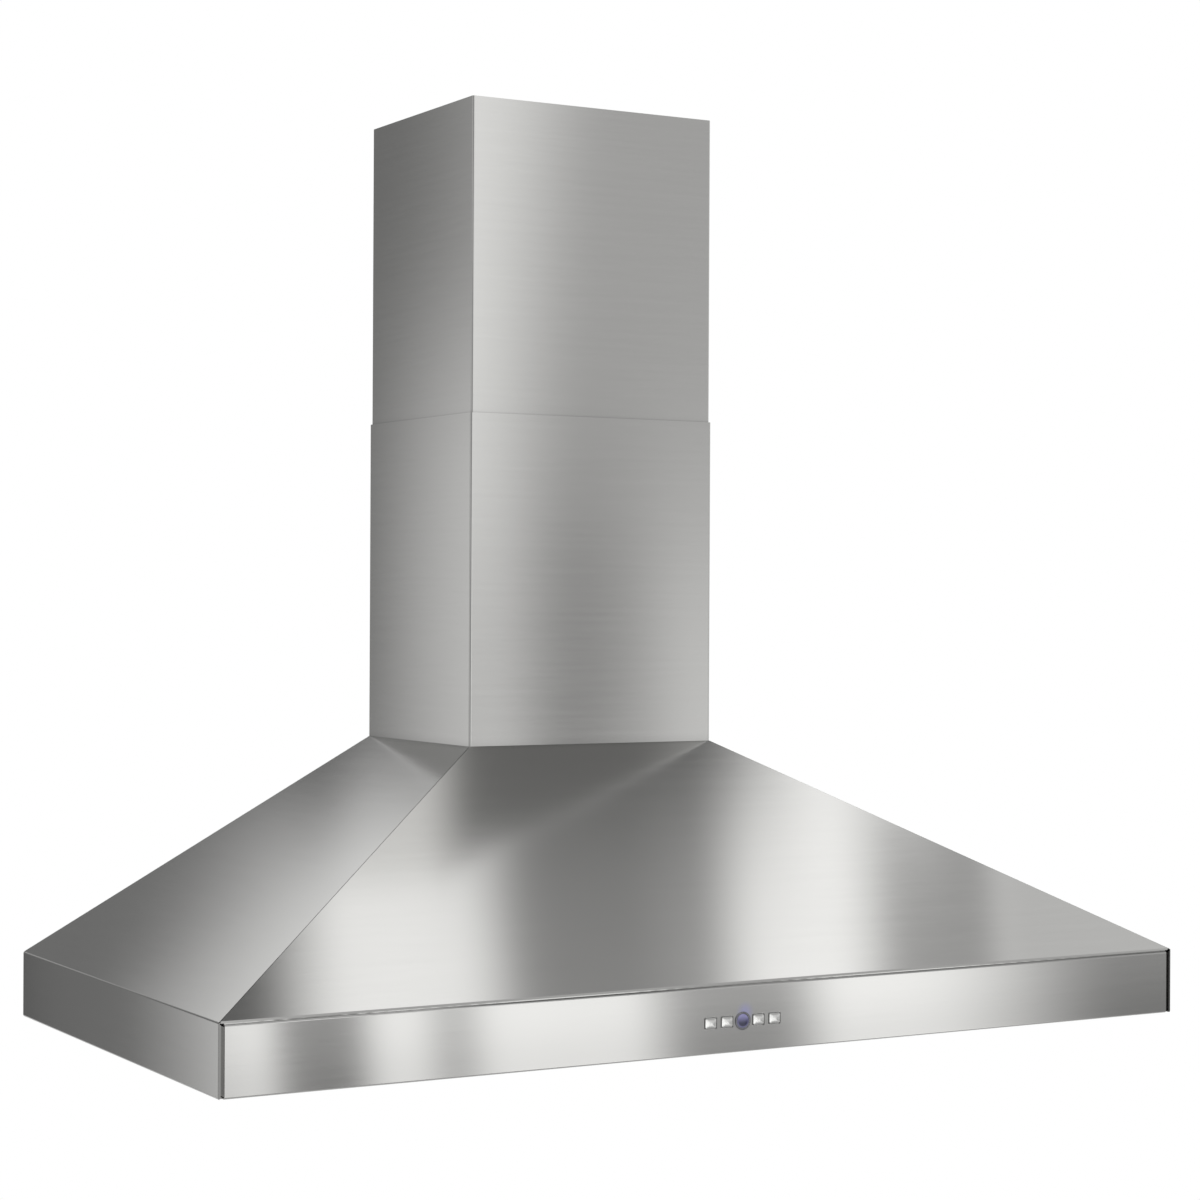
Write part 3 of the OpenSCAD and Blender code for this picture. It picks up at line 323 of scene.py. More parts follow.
# Key and fill: two large soft lamps for the painted and plastic pieces. Both aim
# at the hood's middle, and the polished metal doesn't see them.
lamp_aim = Vector((0, -0.3, 0.4))
for name, place, size, power in (("key", (-2.4, -3.2, 3.0), 2.4, 55), ("fill", (3.0, -2.6, 1.8), 2.4, 22)):
    lamp = bpy.data.objects.new(name, bpy.data.lights.new(name, "AREA"))
    lamp.data.size = size
    lamp.data.energy = power
    lamp.location = place
    lamp.rotation_mode = "QUATERNION"
    lamp.rotation_quaternion = (lamp_aim - Vector(place)).to_track_quat("-Z", "Y")
    lamp.visible_glossy = False
    bpy.context.scene.collection.objects.link(lamp)

# Canopy sides and back, and the two chimney covers: folded from brushed stainless
# steel sheet. A fine level grain smears reflections up and down, with faint long
# streaks and a slight wave. Painted shade darkens the front edges, corners and slots.
steel_tint = (0.615, 0.612, 0.598, 1)
sheet_rough = 0.095
painted_shade_reach = 0.012
painted_corner_shade = 0.5
painted_edge_shade_tone = 0.42
painted_edge_shade_from = 0.0020
painted_edge_shade_to = 0.0008


def brushed_steel(name, tint, roughness, across, grain=1.0, wave=0.0004, spread=0.95):
    """Sheet steel brushed square to the direction that across gives. Its streak is the mean of a
    fine and a broad noise, both drawn out along the brushing. Tone is 1 give or take a fiftieth
    with the streak, times the share of open space, a painted shade that darkens corners and slots.
    Roughness follows the streak plus a slow cloud."""
    made, tree, shader, out = new_material(name)
    place = node(tree, "TexCoord").outputs["Object"]
    # painted shade: the colour darkens where little open space is round a place, in corners, creases and
    # slots
    painted_shade_occlusion = node(tree, "AmbientOcclusion", Distance=painted_shade_reach)
    painted_shade_occlusion.samples = 8
    weights = [60 + 1500 * abs(a) for a in across]
    fine = node(tree, "TexNoise", node(tree, "Mapping", place, Scale=weights).outputs[0],
                Scale=1.0, Detail=3.0, Roughness=0.6)
    broad = node(tree, "TexNoise", node(tree, "Mapping", place, Scale=[w / 9 for w in weights]).outputs[0],
                 Scale=1.0, Detail=2.0)
    cloud = node(tree, "TexNoise", place, Scale=5.0, Detail=2.0)
    streak = sum_of(tree, "ADD", sum_of(tree, "MULTIPLY", fine.outputs[0], 0.5),
                    sum_of(tree, "MULTIPLY", broad.outputs[0], 0.5))
    tone = node(tree, "MapRange", streak, 0.3, 0.7, 0.98, 1.02).outputs[0]
    # painted shade in corners and slots, multiplied into the tone
    painted_shade_openness = sum_of(tree, "MULTIPLY_ADD", painted_shade_occlusion.outputs["AO"], painted_corner_shade, 1 - painted_corner_shade)
    tone = sum_of(tree, "MULTIPLY", tone, painted_shade_openness)
    colour = node(tree, "VectorMath")
    colour.operation = "SCALE"
    colour.inputs[0].default_value = tint[:3]
    tree.links.new(tone, colour.inputs[3])
    tree.links.new(colour.outputs[0], shader.inputs["Base Color"])
    rough = node(tree, "MapRange", sum_of(tree, "ADD", streak, cloud.outputs[0]), 0.6, 1.4,
                 roughness * 0.9, roughness * 1.12).outputs[0]
    tree.links.new(rough, shader.inputs["Roughness"])
    shader.inputs["Metallic"].default_value = 1
    shader.inputs["Anisotropic"].default_value = spread
    tree.links.new(node(tree, "CombineXYZ", *across).outputs[0], shader.inputs["Tangent"])
    swell = node(tree, "TexNoise", place, Scale=2.4, Detail=0.0)
    waved = node(tree, "Bump", Strength=1.0, Distance=wave, Height=swell.outputs[0])
    scratched = node(tree, "Bump", Strength=0.06 * grain, Distance=0.00001, Height=streak,
                     Normal=waved.outputs[0])
    tree.links.new(scratched.outputs[0], shader.inputs["Normal"])
    return made


def scale_colour(material, share):
    """Makes a material's colour that share as bright, and gives the socket it now comes from."""
    tree = material.node_tree
    colour = tree.nodes["Principled BSDF"].inputs["Base Color"]
    scaled = node(tree, "VectorMath", colour.links[0].from_socket)
    scaled.operation = "SCALE"
    tree.links.new(share, scaled.inputs[3])
    tree.links.new(scaled.outputs[0], colour)
    return scaled.outputs[0]


def dress(material, *names):
    """Gives CAD nodes their material, in every slot."""
    for name in names:
        slots = nodes[name].data.materials
        slots.clear()
        slots.append(material)


def settle(piece, material, body, slot, *replaced):
    """Paints a new piece, fixes it to its body and lets it stand for CAD nodes."""
    piece.data.materials.append(material)
    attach(piece, body)
    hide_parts(*replaced)


upright_grain = (0.0, 0.02, 1.0)
flat_grain = (0.0, 1.0, 0.02)
sheet_steel = brushed_steel("sheet_steel", steel_tint, sheet_rough, upright_grain)
tree = sheet_steel.node_tree
far_y = node(tree, "SeparateXYZ", node(tree, "TexCoord").outputs["Object"]).outputs[1]
rim_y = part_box("canopy_left_panel")[0].y
# painted shade: the colour darkens towards the front edge of the sheets
scale_colour(sheet_steel, soft_step(tree, far_y, rim_y + painted_edge_shade_from, rim_y + painted_edge_shade_to,
                                    1.0, painted_edge_shade_tone))
dress(sheet_steel, "canopy_left_panel", "canopy_right_panel", "lower_flue_cover", "upper_flue_cover",
      "canopy_back_panel")

# Canopy front: the same sheet. The nose along its foot is rounded by the bend, so
# that it mirrors less of the floor and more of the room above.
nose_bend_from = 0.0010
nose_bend_to = 0.0003
nose_bend_share = 0.5
front_steel = brushed_steel("front_steel", steel_tint, sheet_rough, upright_grain)
tree = front_steel.node_tree
nose_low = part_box("canopy_front_panel")[0]
far_y = node(tree, "SeparateXYZ", node(tree, "TexCoord").outputs["Object"]).outputs[1]
slope_faces = nodes["canopy_front_panel"].data.polygons
slope_normal = max(slope_faces, key=lambda face: face.area * (face.normal.z > 0.1)).normal.copy()
on_nose = soft_step(tree, far_y, nose_low.y + nose_bend_from, nose_low.y + nose_bend_to,
                    0.0, nose_bend_share)
steel_shader = tree.nodes["Principled BSDF"]
bent = node(tree, "Mix")
bent.data_type = "VECTOR"
tree.links.new(on_nose, bent.inputs["Factor"])
tree.links.new(steel_shader.inputs["Normal"].links[0].from_socket, bent.inputs[4])
bent.inputs[5].default_value = slope_normal
tree.links.new(bent.outputs[1], steel_shader.inputs["Normal"])
dress(front_steel, "canopy_front_panel")

# Control fascia: the upright strip of the same steel along the front. Its colour carries a painted
# reflection, a little brighter above than below, painted shade at the top bend, a painted highlight at
# the foot bend, and the display's violet light painted on above it.
painted_low_reflection_tone = 0.92
painted_high_reflection_tone = 1.09
painted_foot_bend_highlight = 1.3
painted_head_bend_shade = 0.55
painted_bend_band = 0.0026
painted_spill_share = 0.85
fascia_steel = brushed_steel("fascia_steel", steel_tint, sheet_rough, upright_grain)
tree = fascia_steel.node_tree
place = node(tree, "TexCoord").outputs["Object"]
low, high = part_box("control_fascia")
dial_low, dial_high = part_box("display_rim")
dial = Vector(((dial_low.x + dial_high.x) / 2, dial_low.y, (dial_low.z + dial_high.z) / 2))
painted_spill_at = dial + Vector((0.003, 0, 0.009))
painted_spill_size = Vector((0.0105, 0.05, 0.0115))
painted_spill_colour = (0.58, 0.58, 0.92, 1)
height = node(tree, "SeparateXYZ", place).outputs[2]
# painted reflection by height, with painted shade at the top bend and a painted highlight at the foot bend
painted_grade = sum_of(tree, "MULTIPLY", soft_step(tree, height, low.z, high.z, painted_low_reflection_tone, painted_high_reflection_tone),
               soft_step(tree, height, high.z - painted_bend_band, high.z - 0.0008, 1.0, painted_head_bend_shade))
painted_grade = sum_of(tree, "MULTIPLY", painted_grade, soft_step(tree, height, low.z + 0.0006, low.z + painted_bend_band,
                                                  painted_foot_bend_highlight, 1.0))
painted_graded = scale_colour(fascia_steel, painted_grade)
# painted violet glow of the display on the steel above it
off = node(tree, "VectorMath", place, painted_spill_at)
off.operation = "SUBTRACT"
off = node(tree, "VectorMath", off.outputs[0], painted_spill_size)
off.operation = "DIVIDE"
far = node(tree, "VectorMath", off.outputs[0])
far.operation = "LENGTH"
painted_spill_mask = soft_step(tree, far.outputs["Value"], 1.25, 0.0, 0.0, painted_spill_share)
mixed = node(tree, "Mix")
mixed.data_type = "RGBA"
tree.links.new(painted_spill_mask, mixed.inputs["Factor"])
tree.links.new(painted_graded, mixed.inputs[6])
mixed.inputs[7].default_value = painted_spill_colour
tree.links.new(mixed.outputs[2], tree.nodes["Principled BSDF"].inputs["Base Color"])
dress(fascia_steel, "control_fascia")

# Front seam: where the fascia's hem meets the canopy's nose, a weld ground flush and
# brushed, a little behind both faces
seam_rows = 240
seam_back = 0.0005
seam_depth = 0.004
seam_lap = 0.0001
seam_wave = 0.00002
seam_wave_rate = 900
along = np.linspace(low.x, high.x, seam_rows)[:, None]
seam_section = np.array(((0.0, 0.0), (0.0, 0.5), (0.0, 1.0), (1.0, 1.0), (1.0, 0.0)))
seam_y = nose_low.y + seam_back + seam_section[:, 0] * seam_depth
nose_foot = min(corner.co.z for corner in nodes["canopy_front_panel"].data.vertices
                if corner.co.y < nose_low.y + seam_back)
seam_z = high.z - seam_lap + seam_section[:, 1] * (nose_foot - high.z + seam_lap * 2)
seam_y = seam_y + seam_wave * np.sin(along * seam_wave_rate) * (seam_section[:, 0] == 0)
rings = np.stack((along + 0 * seam_y, seam_y, seam_z + 0 * seam_y), axis=-1)
seam = new_piece("front_seam", through_rings(rings))
seam.data.materials.append(sheet_steel)
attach(seam, "hood")

# Liner: the strips, grease trough and filter dividers under the canopy, of the same
# steel in a duller brushing that runs from side to side
liner_rough = 0.24
liner_steel = brushed_steel("liner_steel", steel_tint, liner_rough, flat_grain)
dress(liner_steel, "liner_front_strip", "liner_left_strip", "liner_right_strip", "grease_trough",
      "filter_dividers")

# Filters: two rows of pressed channels, their mouths facing each other, held in a
# folded frame, in a greyer steel with a coarser grain
filter_tint = (0.58, 0.58, 0.57, 1)
filter_rough = 0.30
filter_steel = brushed_steel("filter_steel", filter_tint, filter_rough, flat_grain, grain=3.0)
for number in (1, 2, 3):
    dress(filter_steel, f"filter_{number}_frame", f"filter_{number}_baffles")

# Filter handles: a pull of round bar under each filter, bent down from two feet.
# The bends are arcs, and each foot sits on a small washer against the frame.
handle_bend = 0.006
bend_steps = 10
washer_rise = 0.0008
washer_spread = 1.8


def bar(path, square, radius, steps=24):
    """Points and faces of a round bar along a flat path; square points out of its plane. Each
    ring is its path point plus the radius times the cosine of the angle along the path's side
    and the sine along square."""
    path = np.asarray(path, float)
    ahead_of = np.gradient(path, axis=0)
    ahead_of /= np.linalg.norm(ahead_of, axis=1)[:, None]
    around = np.arange(steps) * math.tau / steps
    beside = np.cross(ahead_of, square)
    spokes = np.cos(around)[:, None] * beside[:, None] + np.outer(np.sin(around), square)
    return through_rings(path[:, None] + radius * spokes)


def turned(profile, centre, along, steps=48, loop=False, ripple=None):
    """Points and faces of a form turned about a line; profile rows are radius and distance
    along it. A point is the centre plus its distance along the line, plus its radius, times
    the ripple's share for its row and angle, along the spoke at its angle."""
    along = np.array(Vector(along).normalized())
    across = np.array(Vector(along).orthogonal().normalized())
    around = np.arange(steps) * math.tau / steps
    spokes = np.outer(np.cos(around), across) + np.outer(np.sin(around), np.cross(along, across))
    radii, heights = np.array(profile, float).T
    reaches = np.repeat(radii[:, None], steps, axis=1)
    if ripple is not None:
        reaches = reaches * ripple(np.arange(len(radii))[:, None], around)
    rings = np.array(centre) + heights[:, None, None] * along + reaches[..., None] * spokes
    return through_rings(rings, loop)


for number in (1, 2, 3):
    low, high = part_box(f"filter_{number}_handle")
    radius = (high.y - low.y) / 2
    bar_y = (high.y + low.y) / 2
    left, right = low.x + radius, high.x - radius
    bottom = low.z + radius
    corner = np.linspace(0, math.pi / 2, bend_steps)
    turn_x, turn_z = handle_bend * (1 - np.cos(corner)), handle_bend * (1 - np.sin(corner))
    path = [(left, bar_y, high.z)]
    path += [(left + x, bar_y, bottom + z) for x, z in zip(turn_x, turn_z)]
    path += [(right - x, bar_y, bottom + z) for x, z in zip(turn_x[::-1], turn_z[::-1])]
    path += [(right, bar_y, high.z)]
    washer = ((0.0, -washer_rise), (radius * washer_spread * 0.85, -washer_rise),
              (radius * washer_spread, -washer_rise / 2), (radius * washer_spread, 0), (0.0, 0))
    feet = [turned(washer, (x, bar_y, high.z), (0, 0, 1)) for x in (left, right)]
    handle = new_piece(f"handle_{number}", bar(path, (0, 1, 0), radius), *feet)
    settle(handle, filter_steel, f"filter_{number}", "filter_steel", f"filter_{number}_handle")

# Galvanised sheet of the blower, plates, boxes, collar and brackets: the zinc's large
# flat crystals, each with its own shade and shine, under a thin grey bloom
crystals_per_metre = 85.0
crystal_warp = (0.012, 0.012, 0.012)


def emboss(tree, shader, height, strength, distance):
    """Gives a shader the relief of a height: that distance times the strength at a height of 1."""
    relief = node(tree, "Bump", Strength=strength, Distance=distance, Height=height)
    tree.links.new(relief.outputs[0], shader.inputs["Normal"])


zinc, tree, shader, out = new_material("zinc")
place = node(tree, "TexCoord").outputs["Object"]
warp = node(tree, "TexNoise", place, Scale=60.0, Detail=2.0)
bent_place = node(tree, "VectorMath", warp.outputs[1], crystal_warp, place)
bent_place.operation = "MULTIPLY_ADD"
crystal = node(tree, "TexVoronoi", bent_place.outputs[0], Scale=crystals_per_metre)
shade = node(tree, "SeparateColor", crystal.outputs["Color"])
bloom = node(tree, "TexNoise", place, Scale=9.0, Detail=4.0, Roughness=0.6)
shine = sum_of(tree, "MULTIPLY_ADD", shade.outputs[0], 0.10, 0.45)
shine = sum_of(tree, "MULTIPLY", shine, soft_step(tree, bloom.outputs[0], 0.25, 0.75, 0.86, 1.06))
zinc_colour = node(tree, "CombineColor", shine, sum_of(tree, "MULTIPLY", shine, 1.015),
                   sum_of(tree, "MULTIPLY", shine, 1.04))
tree.links.new(zinc_colour.outputs[0], shader.inputs["Base Color"])
shader.inputs["Metallic"].default_value = 0.94
tree.links.new(sum_of(tree, "MULTIPLY_ADD", shade.outputs[1], 0.16, 0.30), shader.inputs["Roughness"])
edges = node(tree, "TexVoronoi", bent_place.outputs[0], Scale=crystals_per_metre)
edges.feature = "DISTANCE_TO_EDGE"
relief = sum_of(tree, "MULTIPLY_ADD", shade.outputs[2], 0.3, soft_step(tree, edges.outputs[0], 0.0, 0.08))
emboss(tree, shader, relief, 0.25, 0.00004)
dress(zinc, "canopy_top_plate", "hip_seam_strips", "wall_stiffener", "duct_collar", "damper_pin",
      "damper_flap_front", "damper_flap_rear", "blower_scroll", "blower_left_side", "blower_right_side",
      "blower_wheel", "motor_shaft", "motor_bracket", "wiring_box", "wiring_box_cover",
      "lamp_left_housing", "lamp_right_housing", "chimney_bracket")

# Filter catches: small spring clips of bright zinc-plated steel, with a faint yellow
# stain. The screws and bolts have the same finish.
plated, tree, shader, out = new_material("plated")
place = node(tree, "TexCoord").outputs["Object"]
stain = node(tree, "TexNoise", place, Scale=700.0, Detail=3.0)
stain_shades = ((0.50, 0.62), (0.50, 0.60), (0.46, 0.57))
plated_colour = node(tree, "CombineColor",
                     *[soft_step(tree, stain.outputs[0], 0.3, 0.7, *shades) for shades in stain_shades])
tree.links.new(plated_colour.outputs[0], shader.inputs["Base Color"])
shader.inputs["Metallic"].default_value = 1
tree.links.new(soft_step(tree, stain.outputs[0], 0.3, 0.7, 0.20, 0.34), shader.inputs["Roughness"])
emboss(tree, shader, stain.outputs[0], 0.2, 0.00002)
dress(plated, "filter_catches")

# Screws: a low domed head with a cross recess, and a threaded shank. Their
# places come from the corners of the CAD screws' own boxes.
screw_head_r = 0.004
screw_head_h = 0.002
screw_shank_r = 0.002
thread_pitch = 0.0009
thread_depth = 0.12
recess_half = 0.16
recess_reach = 0.60
recess_depth = 0.0013
head_rows = 16


def cross_screw(place, along, head_r, head_h, shank_r, length):
    """A screw with its head's underside at place and its head pointing along. The head's rows
    rise by its height times 1 less 0.45 of the share cubed, less the recess inside its cross,
    and the shank's rows take their thread off every second one."""
    along = np.array(Vector(along).normalized())
    across = np.array(Vector(along).orthogonal().normalized())
    beside = np.cross(along, across)
    around = np.arange(64) * math.tau / 64
    share = np.linspace(0.04, 1, head_rows)[:, None]
    x, y = share * np.cos(around), share * np.sin(around)
    arm = np.minimum(abs(x), abs(y)) < recess_half * (1 - share * 0.5)
    sunk = arm & (share < recess_reach)
    top = head_h * (1 - 0.45 * share ** 3) - np.where(sunk, recess_depth * (1 - share), 0)
    rings = [head_r * (x[k][:, None] * across + y[k][:, None] * beside) + top[k][:, None] * along
             for k in range(head_rows)]
    threads = np.arange(0, length, thread_pitch / 2)
    below = [(head_r, 0.0), (shank_r, 0.0)]
    below += [(shank_r * (1 - thread_depth * (k % 2)), -depth) for k, depth in enumerate(threads)]
    below += [(shank_r * 0.55, -length)]
    rings += [r * (np.outer(np.cos(around), across) + np.outer(np.sin(around), beside)) + h * along
              for r, h in below]
    return through_rings(np.array(rings) + np.array(place))


def hex_form(place, along, half, low, high):
    """A hexagon nut or bolt head with a chamfered top, between two heights along a line."""
    def six_sided(row, around):
        """Share of the radius: 1 over the cosine of the angle from the nearest flat's middle."""
        flat = 1 / np.cos((around + math.pi / 6) % (math.pi / 3) - math.pi / 6)
        return np.where(row == 1, 0.97, np.where((row == 2) | (row == 3), flat, 1.0))
    chamfer = (high - low) * 0.12
    profile = ((half * 0.5, high), (half, high), (half, high - chamfer), (half, low), (half * 0.5, low))
    return turned(profile, place, along, 48, ripple=six_sided)


def corners_of(name, inset):
    """The four places in X and Y at the corners of a CAD node's box, drawn in."""
    low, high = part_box(name)
    return [(x, y) for x in (low.x + inset, high.x - inset) for y in (low.y + inset, high.y - inset)]


for screws_name, cad_name in (("cover_screws", "flue_screws"), ("flange_screws", "collar_screws")):
    low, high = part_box(cad_name)
    head_z = high.z - screw_head_h
    forms = [cross_screw((x, y, head_z), (0, 0, 1), screw_head_r, screw_head_h, screw_shank_r,
                         head_z - low.z) for x, y in corners_of(cad_name, screw_head_r)]
    settle(new_piece(screws_name, *forms), plated, "hood", "screw_steel", cad_name)
low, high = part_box("bracket_screws")
forms = [cross_screw((x, low.y + screw_head_h, (low.z + high.z) / 2), (0, -1, 0), screw_head_r,
                     screw_head_h, screw_shank_r, high.y - low.y - screw_head_h)
         for x in (low.x + screw_head_r, high.x - screw_head_r)]
settle(new_piece("top_bracket_screws", *forms), plated, "upper_flue", "screw_steel", "bracket_screws")

# Blower bolts: hexagon heads on washers above the top plate and nuts under the
# blower's feet
bolt_head_r = 0.0045
bolt_head_h = 0.002
bolt_shank_r = 0.0025
nut_half = 0.0041
nut_h = 0.004
washer_r = 0.0058
washer_h = 0.0004
low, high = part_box("blower_bolts")
head_z = high.z - bolt_head_h
rod = [(bolt_shank_r * (1 - thread_depth * (k % 2)), -h)
       for k, h in enumerate(np.arange(0, head_z - low.z, thread_pitch / 2))]
washer = ((bolt_shank_r, 0), (washer_r, 0), (washer_r, washer_h), (bolt_shank_r, washer_h))
forms = []
for x, y in corners_of("blower_bolts", bolt_head_r):
    forms.append(turned(rod, (x, y, head_z), (0, 0, 1), 32))
    forms.append(hex_form((x, y, head_z), (0, 0, 1), bolt_head_r * 0.92, washer_h, bolt_head_h))
    forms.append(turned(washer, (x, y, head_z), (0, 0, 1), 32, loop=True))
    forms.append(hex_form((x, y, low.z), (0, 0, 1), nut_half, 0.0, nut_h))
settle(new_piece("bolts", *forms), plated, "hood", "screw_steel", "blower_bolts")

# Motor: a can with rounded end bells, long cooling ribs round its middle and a
# rolled joint at each end of them, in black stoved enamel
motor_black, tree, shader, out = new_material("motor_black")
place = node(tree, "TexCoord").outputs["Object"]
peel = node(tree, "TexNoise", place, Scale=900.0, Detail=2.0)
dust = node(tree, "TexNoise", place, Scale=30.0, Detail=5.0, Roughness=0.65)
upward = node(tree, "SeparateXYZ", node(tree, "NewGeometry").outputs["Normal"]).outputs[2]
dusty = sum_of(tree, "MULTIPLY", soft_step(tree, upward, 0.1, 1.0),
               soft_step(tree, dust.outputs[0], 0.35, 0.7))
black = sum_of(tree, "MULTIPLY_ADD", dusty, 0.10, 0.018)
tree.links.new(node(tree, "CombineColor", black, black, sum_of(tree, "MULTIPLY", black, 0.96)).outputs[0],
               shader.inputs["Base Color"])
tree.links.new(soft_step(tree, dusty, 0.0, 1.0, 0.36, 0.8), shader.inputs["Roughness"])
emboss(tree, shader, peel.outputs[0], 0.3, 0.00006)
low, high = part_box("motor")
can_r = (high.z - low.z) / 2
can_len = high.x - low.x
rib_count = 40
rib_depth = 0.035
can_profile = [(0.10, 0.00), (0.60, 0.00), (0.72, 0.01), (0.78, 0.04), (0.80, 0.10), (0.82, 0.15),
               (0.90, 0.17), (0.97, 0.19), (1.00, 0.22), (1.00, 0.25), (0.97, 0.26), (0.97, 0.28)]
can_profile += [(1.00, 0.30), (1.00, 0.70)] + [(r, 1 - x) for r, x in can_profile[::-1]]
ribbed_rows = (12, 13)


def ribs(row, around):
    """Share of the radius on the ribbed rows: 1 less the rib depth times a clipped cosine wave."""
    wave = 0.5 + 0.5 * np.clip(3 * np.cos(around * rib_count), -1, 1)
    return np.where((row == ribbed_rows[0]) | (row == ribbed_rows[1]), 1 - rib_depth * wave, 1.0)


can = turned([(r * can_r, x * can_len) for r, x in can_profile],
             (low.x, (low.y + high.y) / 2, (low.z + high.z) / 2), (1, 0, 0), rib_count * 8, ripple=ribs)
settle(new_piece("motor_can", can), motor_black, "hood", "motor_black", "motor")

# Motor capacitor: a black moulded can with a domed foot and a rolled bead near its
# flat top. The control housing is moulded of the same grained plastic.
black_plastic, tree, shader, out = new_material("black_plastic")
place = node(tree, "TexCoord").outputs["Object"]
grainy = node(tree, "TexVoronoi", place, Scale=2600.0)
worn = node(tree, "TexNoise", place, Scale=40.0, Detail=4.0)
shader.inputs["Base Color"].default_value = (0.016, 0.016, 0.017, 1)
tree.links.new(soft_step(tree, worn.outputs[0], 0.3, 0.7, 0.42, 0.6), shader.inputs["Roughness"])
emboss(tree, shader, grainy.outputs[0], 0.35, 0.00005)
dress(black_plastic, "control_housing")


def foot_of(low, high):
    """Middle of a box's underside."""
    return (low.x + high.x) / 2, (low.y + high.y) / 2, low.z


low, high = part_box("motor_capacitor")
cap_r = (high.x - low.x) / 2
cap_h = high.z - low.z
cap_profile = ((0.01, 0.0), (0.30, 0.004), (0.70, 0.018), (0.92, 0.045), (1.0, 0.10), (1.0, 0.80),
               (0.95, 0.82), (0.95, 0.84), (1.0, 0.86), (1.0, 0.99), (0.97, 1.0), (0.01, 1.0))
can = turned([(r * cap_r, z * cap_h) for r, z in cap_profile], foot_of(low, high), (0, 0, 1), 64)
settle(new_piece("capacitor_can", can), black_plastic, "hood", "black_plastic", "motor_capacitor")

# Cable bush: a grey-black rubber ring with a groove, pressed into the wiring box's
# hole where the supply enters
rubber, tree, shader, out = new_material("rubber")
place = node(tree, "TexCoord").outputs["Object"]
chalk = node(tree, "TexNoise", place, Scale=300.0, Detail=5.0, Roughness=0.7)
grey = soft_step(tree, chalk.outputs[0], 0.35, 0.75, 0.020, 0.045)
tree.links.new(node(tree, "CombineColor", grey, grey, grey).outputs[0], shader.inputs["Base Color"])
shader.inputs["Roughness"].default_value = 0.78
emboss(tree, shader, chalk.outputs[0], 0.3, 0.0001)
low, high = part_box("cable_bush")
bush_r = (high.x - low.x) / 2
bush_h = high.z - low.z
bush_profile = ((0.68, 1.0), (0.86, 1.0), (0.96, 0.92), (1.0, 0.78), (1.0, 0.56), (0.96, 0.50),
                (0.82, 0.50), (0.82, 0.34), (0.88, 0.30), (0.82, 0.02), (0.76, 0.0), (0.66, 0.02),
                (0.64, 0.5), (0.64, 0.92))
bush = turned([(r * bush_r, z * bush_h) for r, z in bush_profile], foot_of(low, high), (0, 0, 1), 64,
              loop=True)
settle(new_piece("bush", bush), rubber, "hood", "rubber", "cable_bush")

# Lamps: a rolled chrome rim with faint wiping marks, sprung into the liner, round a
# frosted glass lens with fine moulded rings
chrome, tree, shader, out = new_material("chrome")
place = node(tree, "TexCoord").outputs["Object"]
wiped = node(tree, "TexNoise", node(tree, "Mapping", place, Scale=(40, 40, 220)).outputs[0],
             Scale=1.0, Detail=4.0)
shader.inputs["Base Color"].default_value = (0.80, 0.80, 0.80, 1)
shader.inputs["Metallic"].default_value = 1
tree.links.new(soft_step(tree, wiped.outputs[0], 0.3, 0.75, 0.05, 0.13), shader.inputs["Roughness"])
emboss(tree, shader, wiped.outputs[0], 0.1, 0.00002)
lamp_glass, tree, shader, out = new_material("lamp_glass")
place = node(tree, "TexCoord").outputs["Object"]
frost = node(tree, "TexNoise", place, Scale=1500.0, Detail=2.0)
patch = node(tree, "TexNoise", place, Scale=120.0, Detail=3.0)
shader.inputs["Base Color"].default_value = (0.66, 0.69, 0.69, 1)
shader.inputs["Transmission Weight"].default_value = 0.30
shader.inputs["Emission Color"].default_value = (1.0, 0.95, 0.86, 1)
shader.inputs["Emission Strength"].default_value = 0.03
shader.inputs["Coat Weight"].default_value = 0.3
tree.links.new(soft_step(tree, patch.outputs[0], 0.3, 0.7, 0.34, 0.48), shader.inputs["Roughness"])
emboss(tree, shader, frost.outputs[0], 0.4, 0.0001)
rim_profile = ((0.70, 1.0), (0.98, 1.0), (1.0, 0.80), (1.0, 0.55), (0.985, 0.28), (0.955, 0.08),
               (0.92, 0.0), (0.89, 0.02), (0.80, 0.40), (0.745, 0.52), (0.71, 0.56), (0.70, 0.66))
lens_rings = 9
lens_dome = 0.0012
lens_ripple = 0.00032
lens_eye_share = 0.02
for side_name in ("left", "right"):
    low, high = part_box(f"lamp_{side_name}_rim")
    rim = turned([(r * (high.x - low.x) / 2, z * (high.z - low.z)) for r, z in rim_profile],
                 foot_of(low, high), (0, 0, 1), 96, loop=True)
    settle(new_piece(f"lamp_{side_name}_bezel", rim), chrome, "hood", "chrome", f"lamp_{side_name}_rim")
    low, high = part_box(f"lamp_{side_name}_lens")
    lens_r = (high.x - low.x) / 2
    shares = np.linspace(1, lens_eye_share, lens_rings * 6)
    face = [(s * lens_r, lens_ripple * math.cos(s * lens_rings * math.tau) - lens_dome * (1 - s * s))
            for s in shares]
    back = [(lens_eye_share * lens_r, high.z - low.z), (lens_r, high.z - low.z)]
    lens = turned(back + face, foot_of(low, high), (0, 0, 1), 96)
    settle(new_piece(f"lamp_{side_name}_glass", lens), lamp_glass, "hood", "lamp_glass",
           f"lamp_{side_name}_lens")

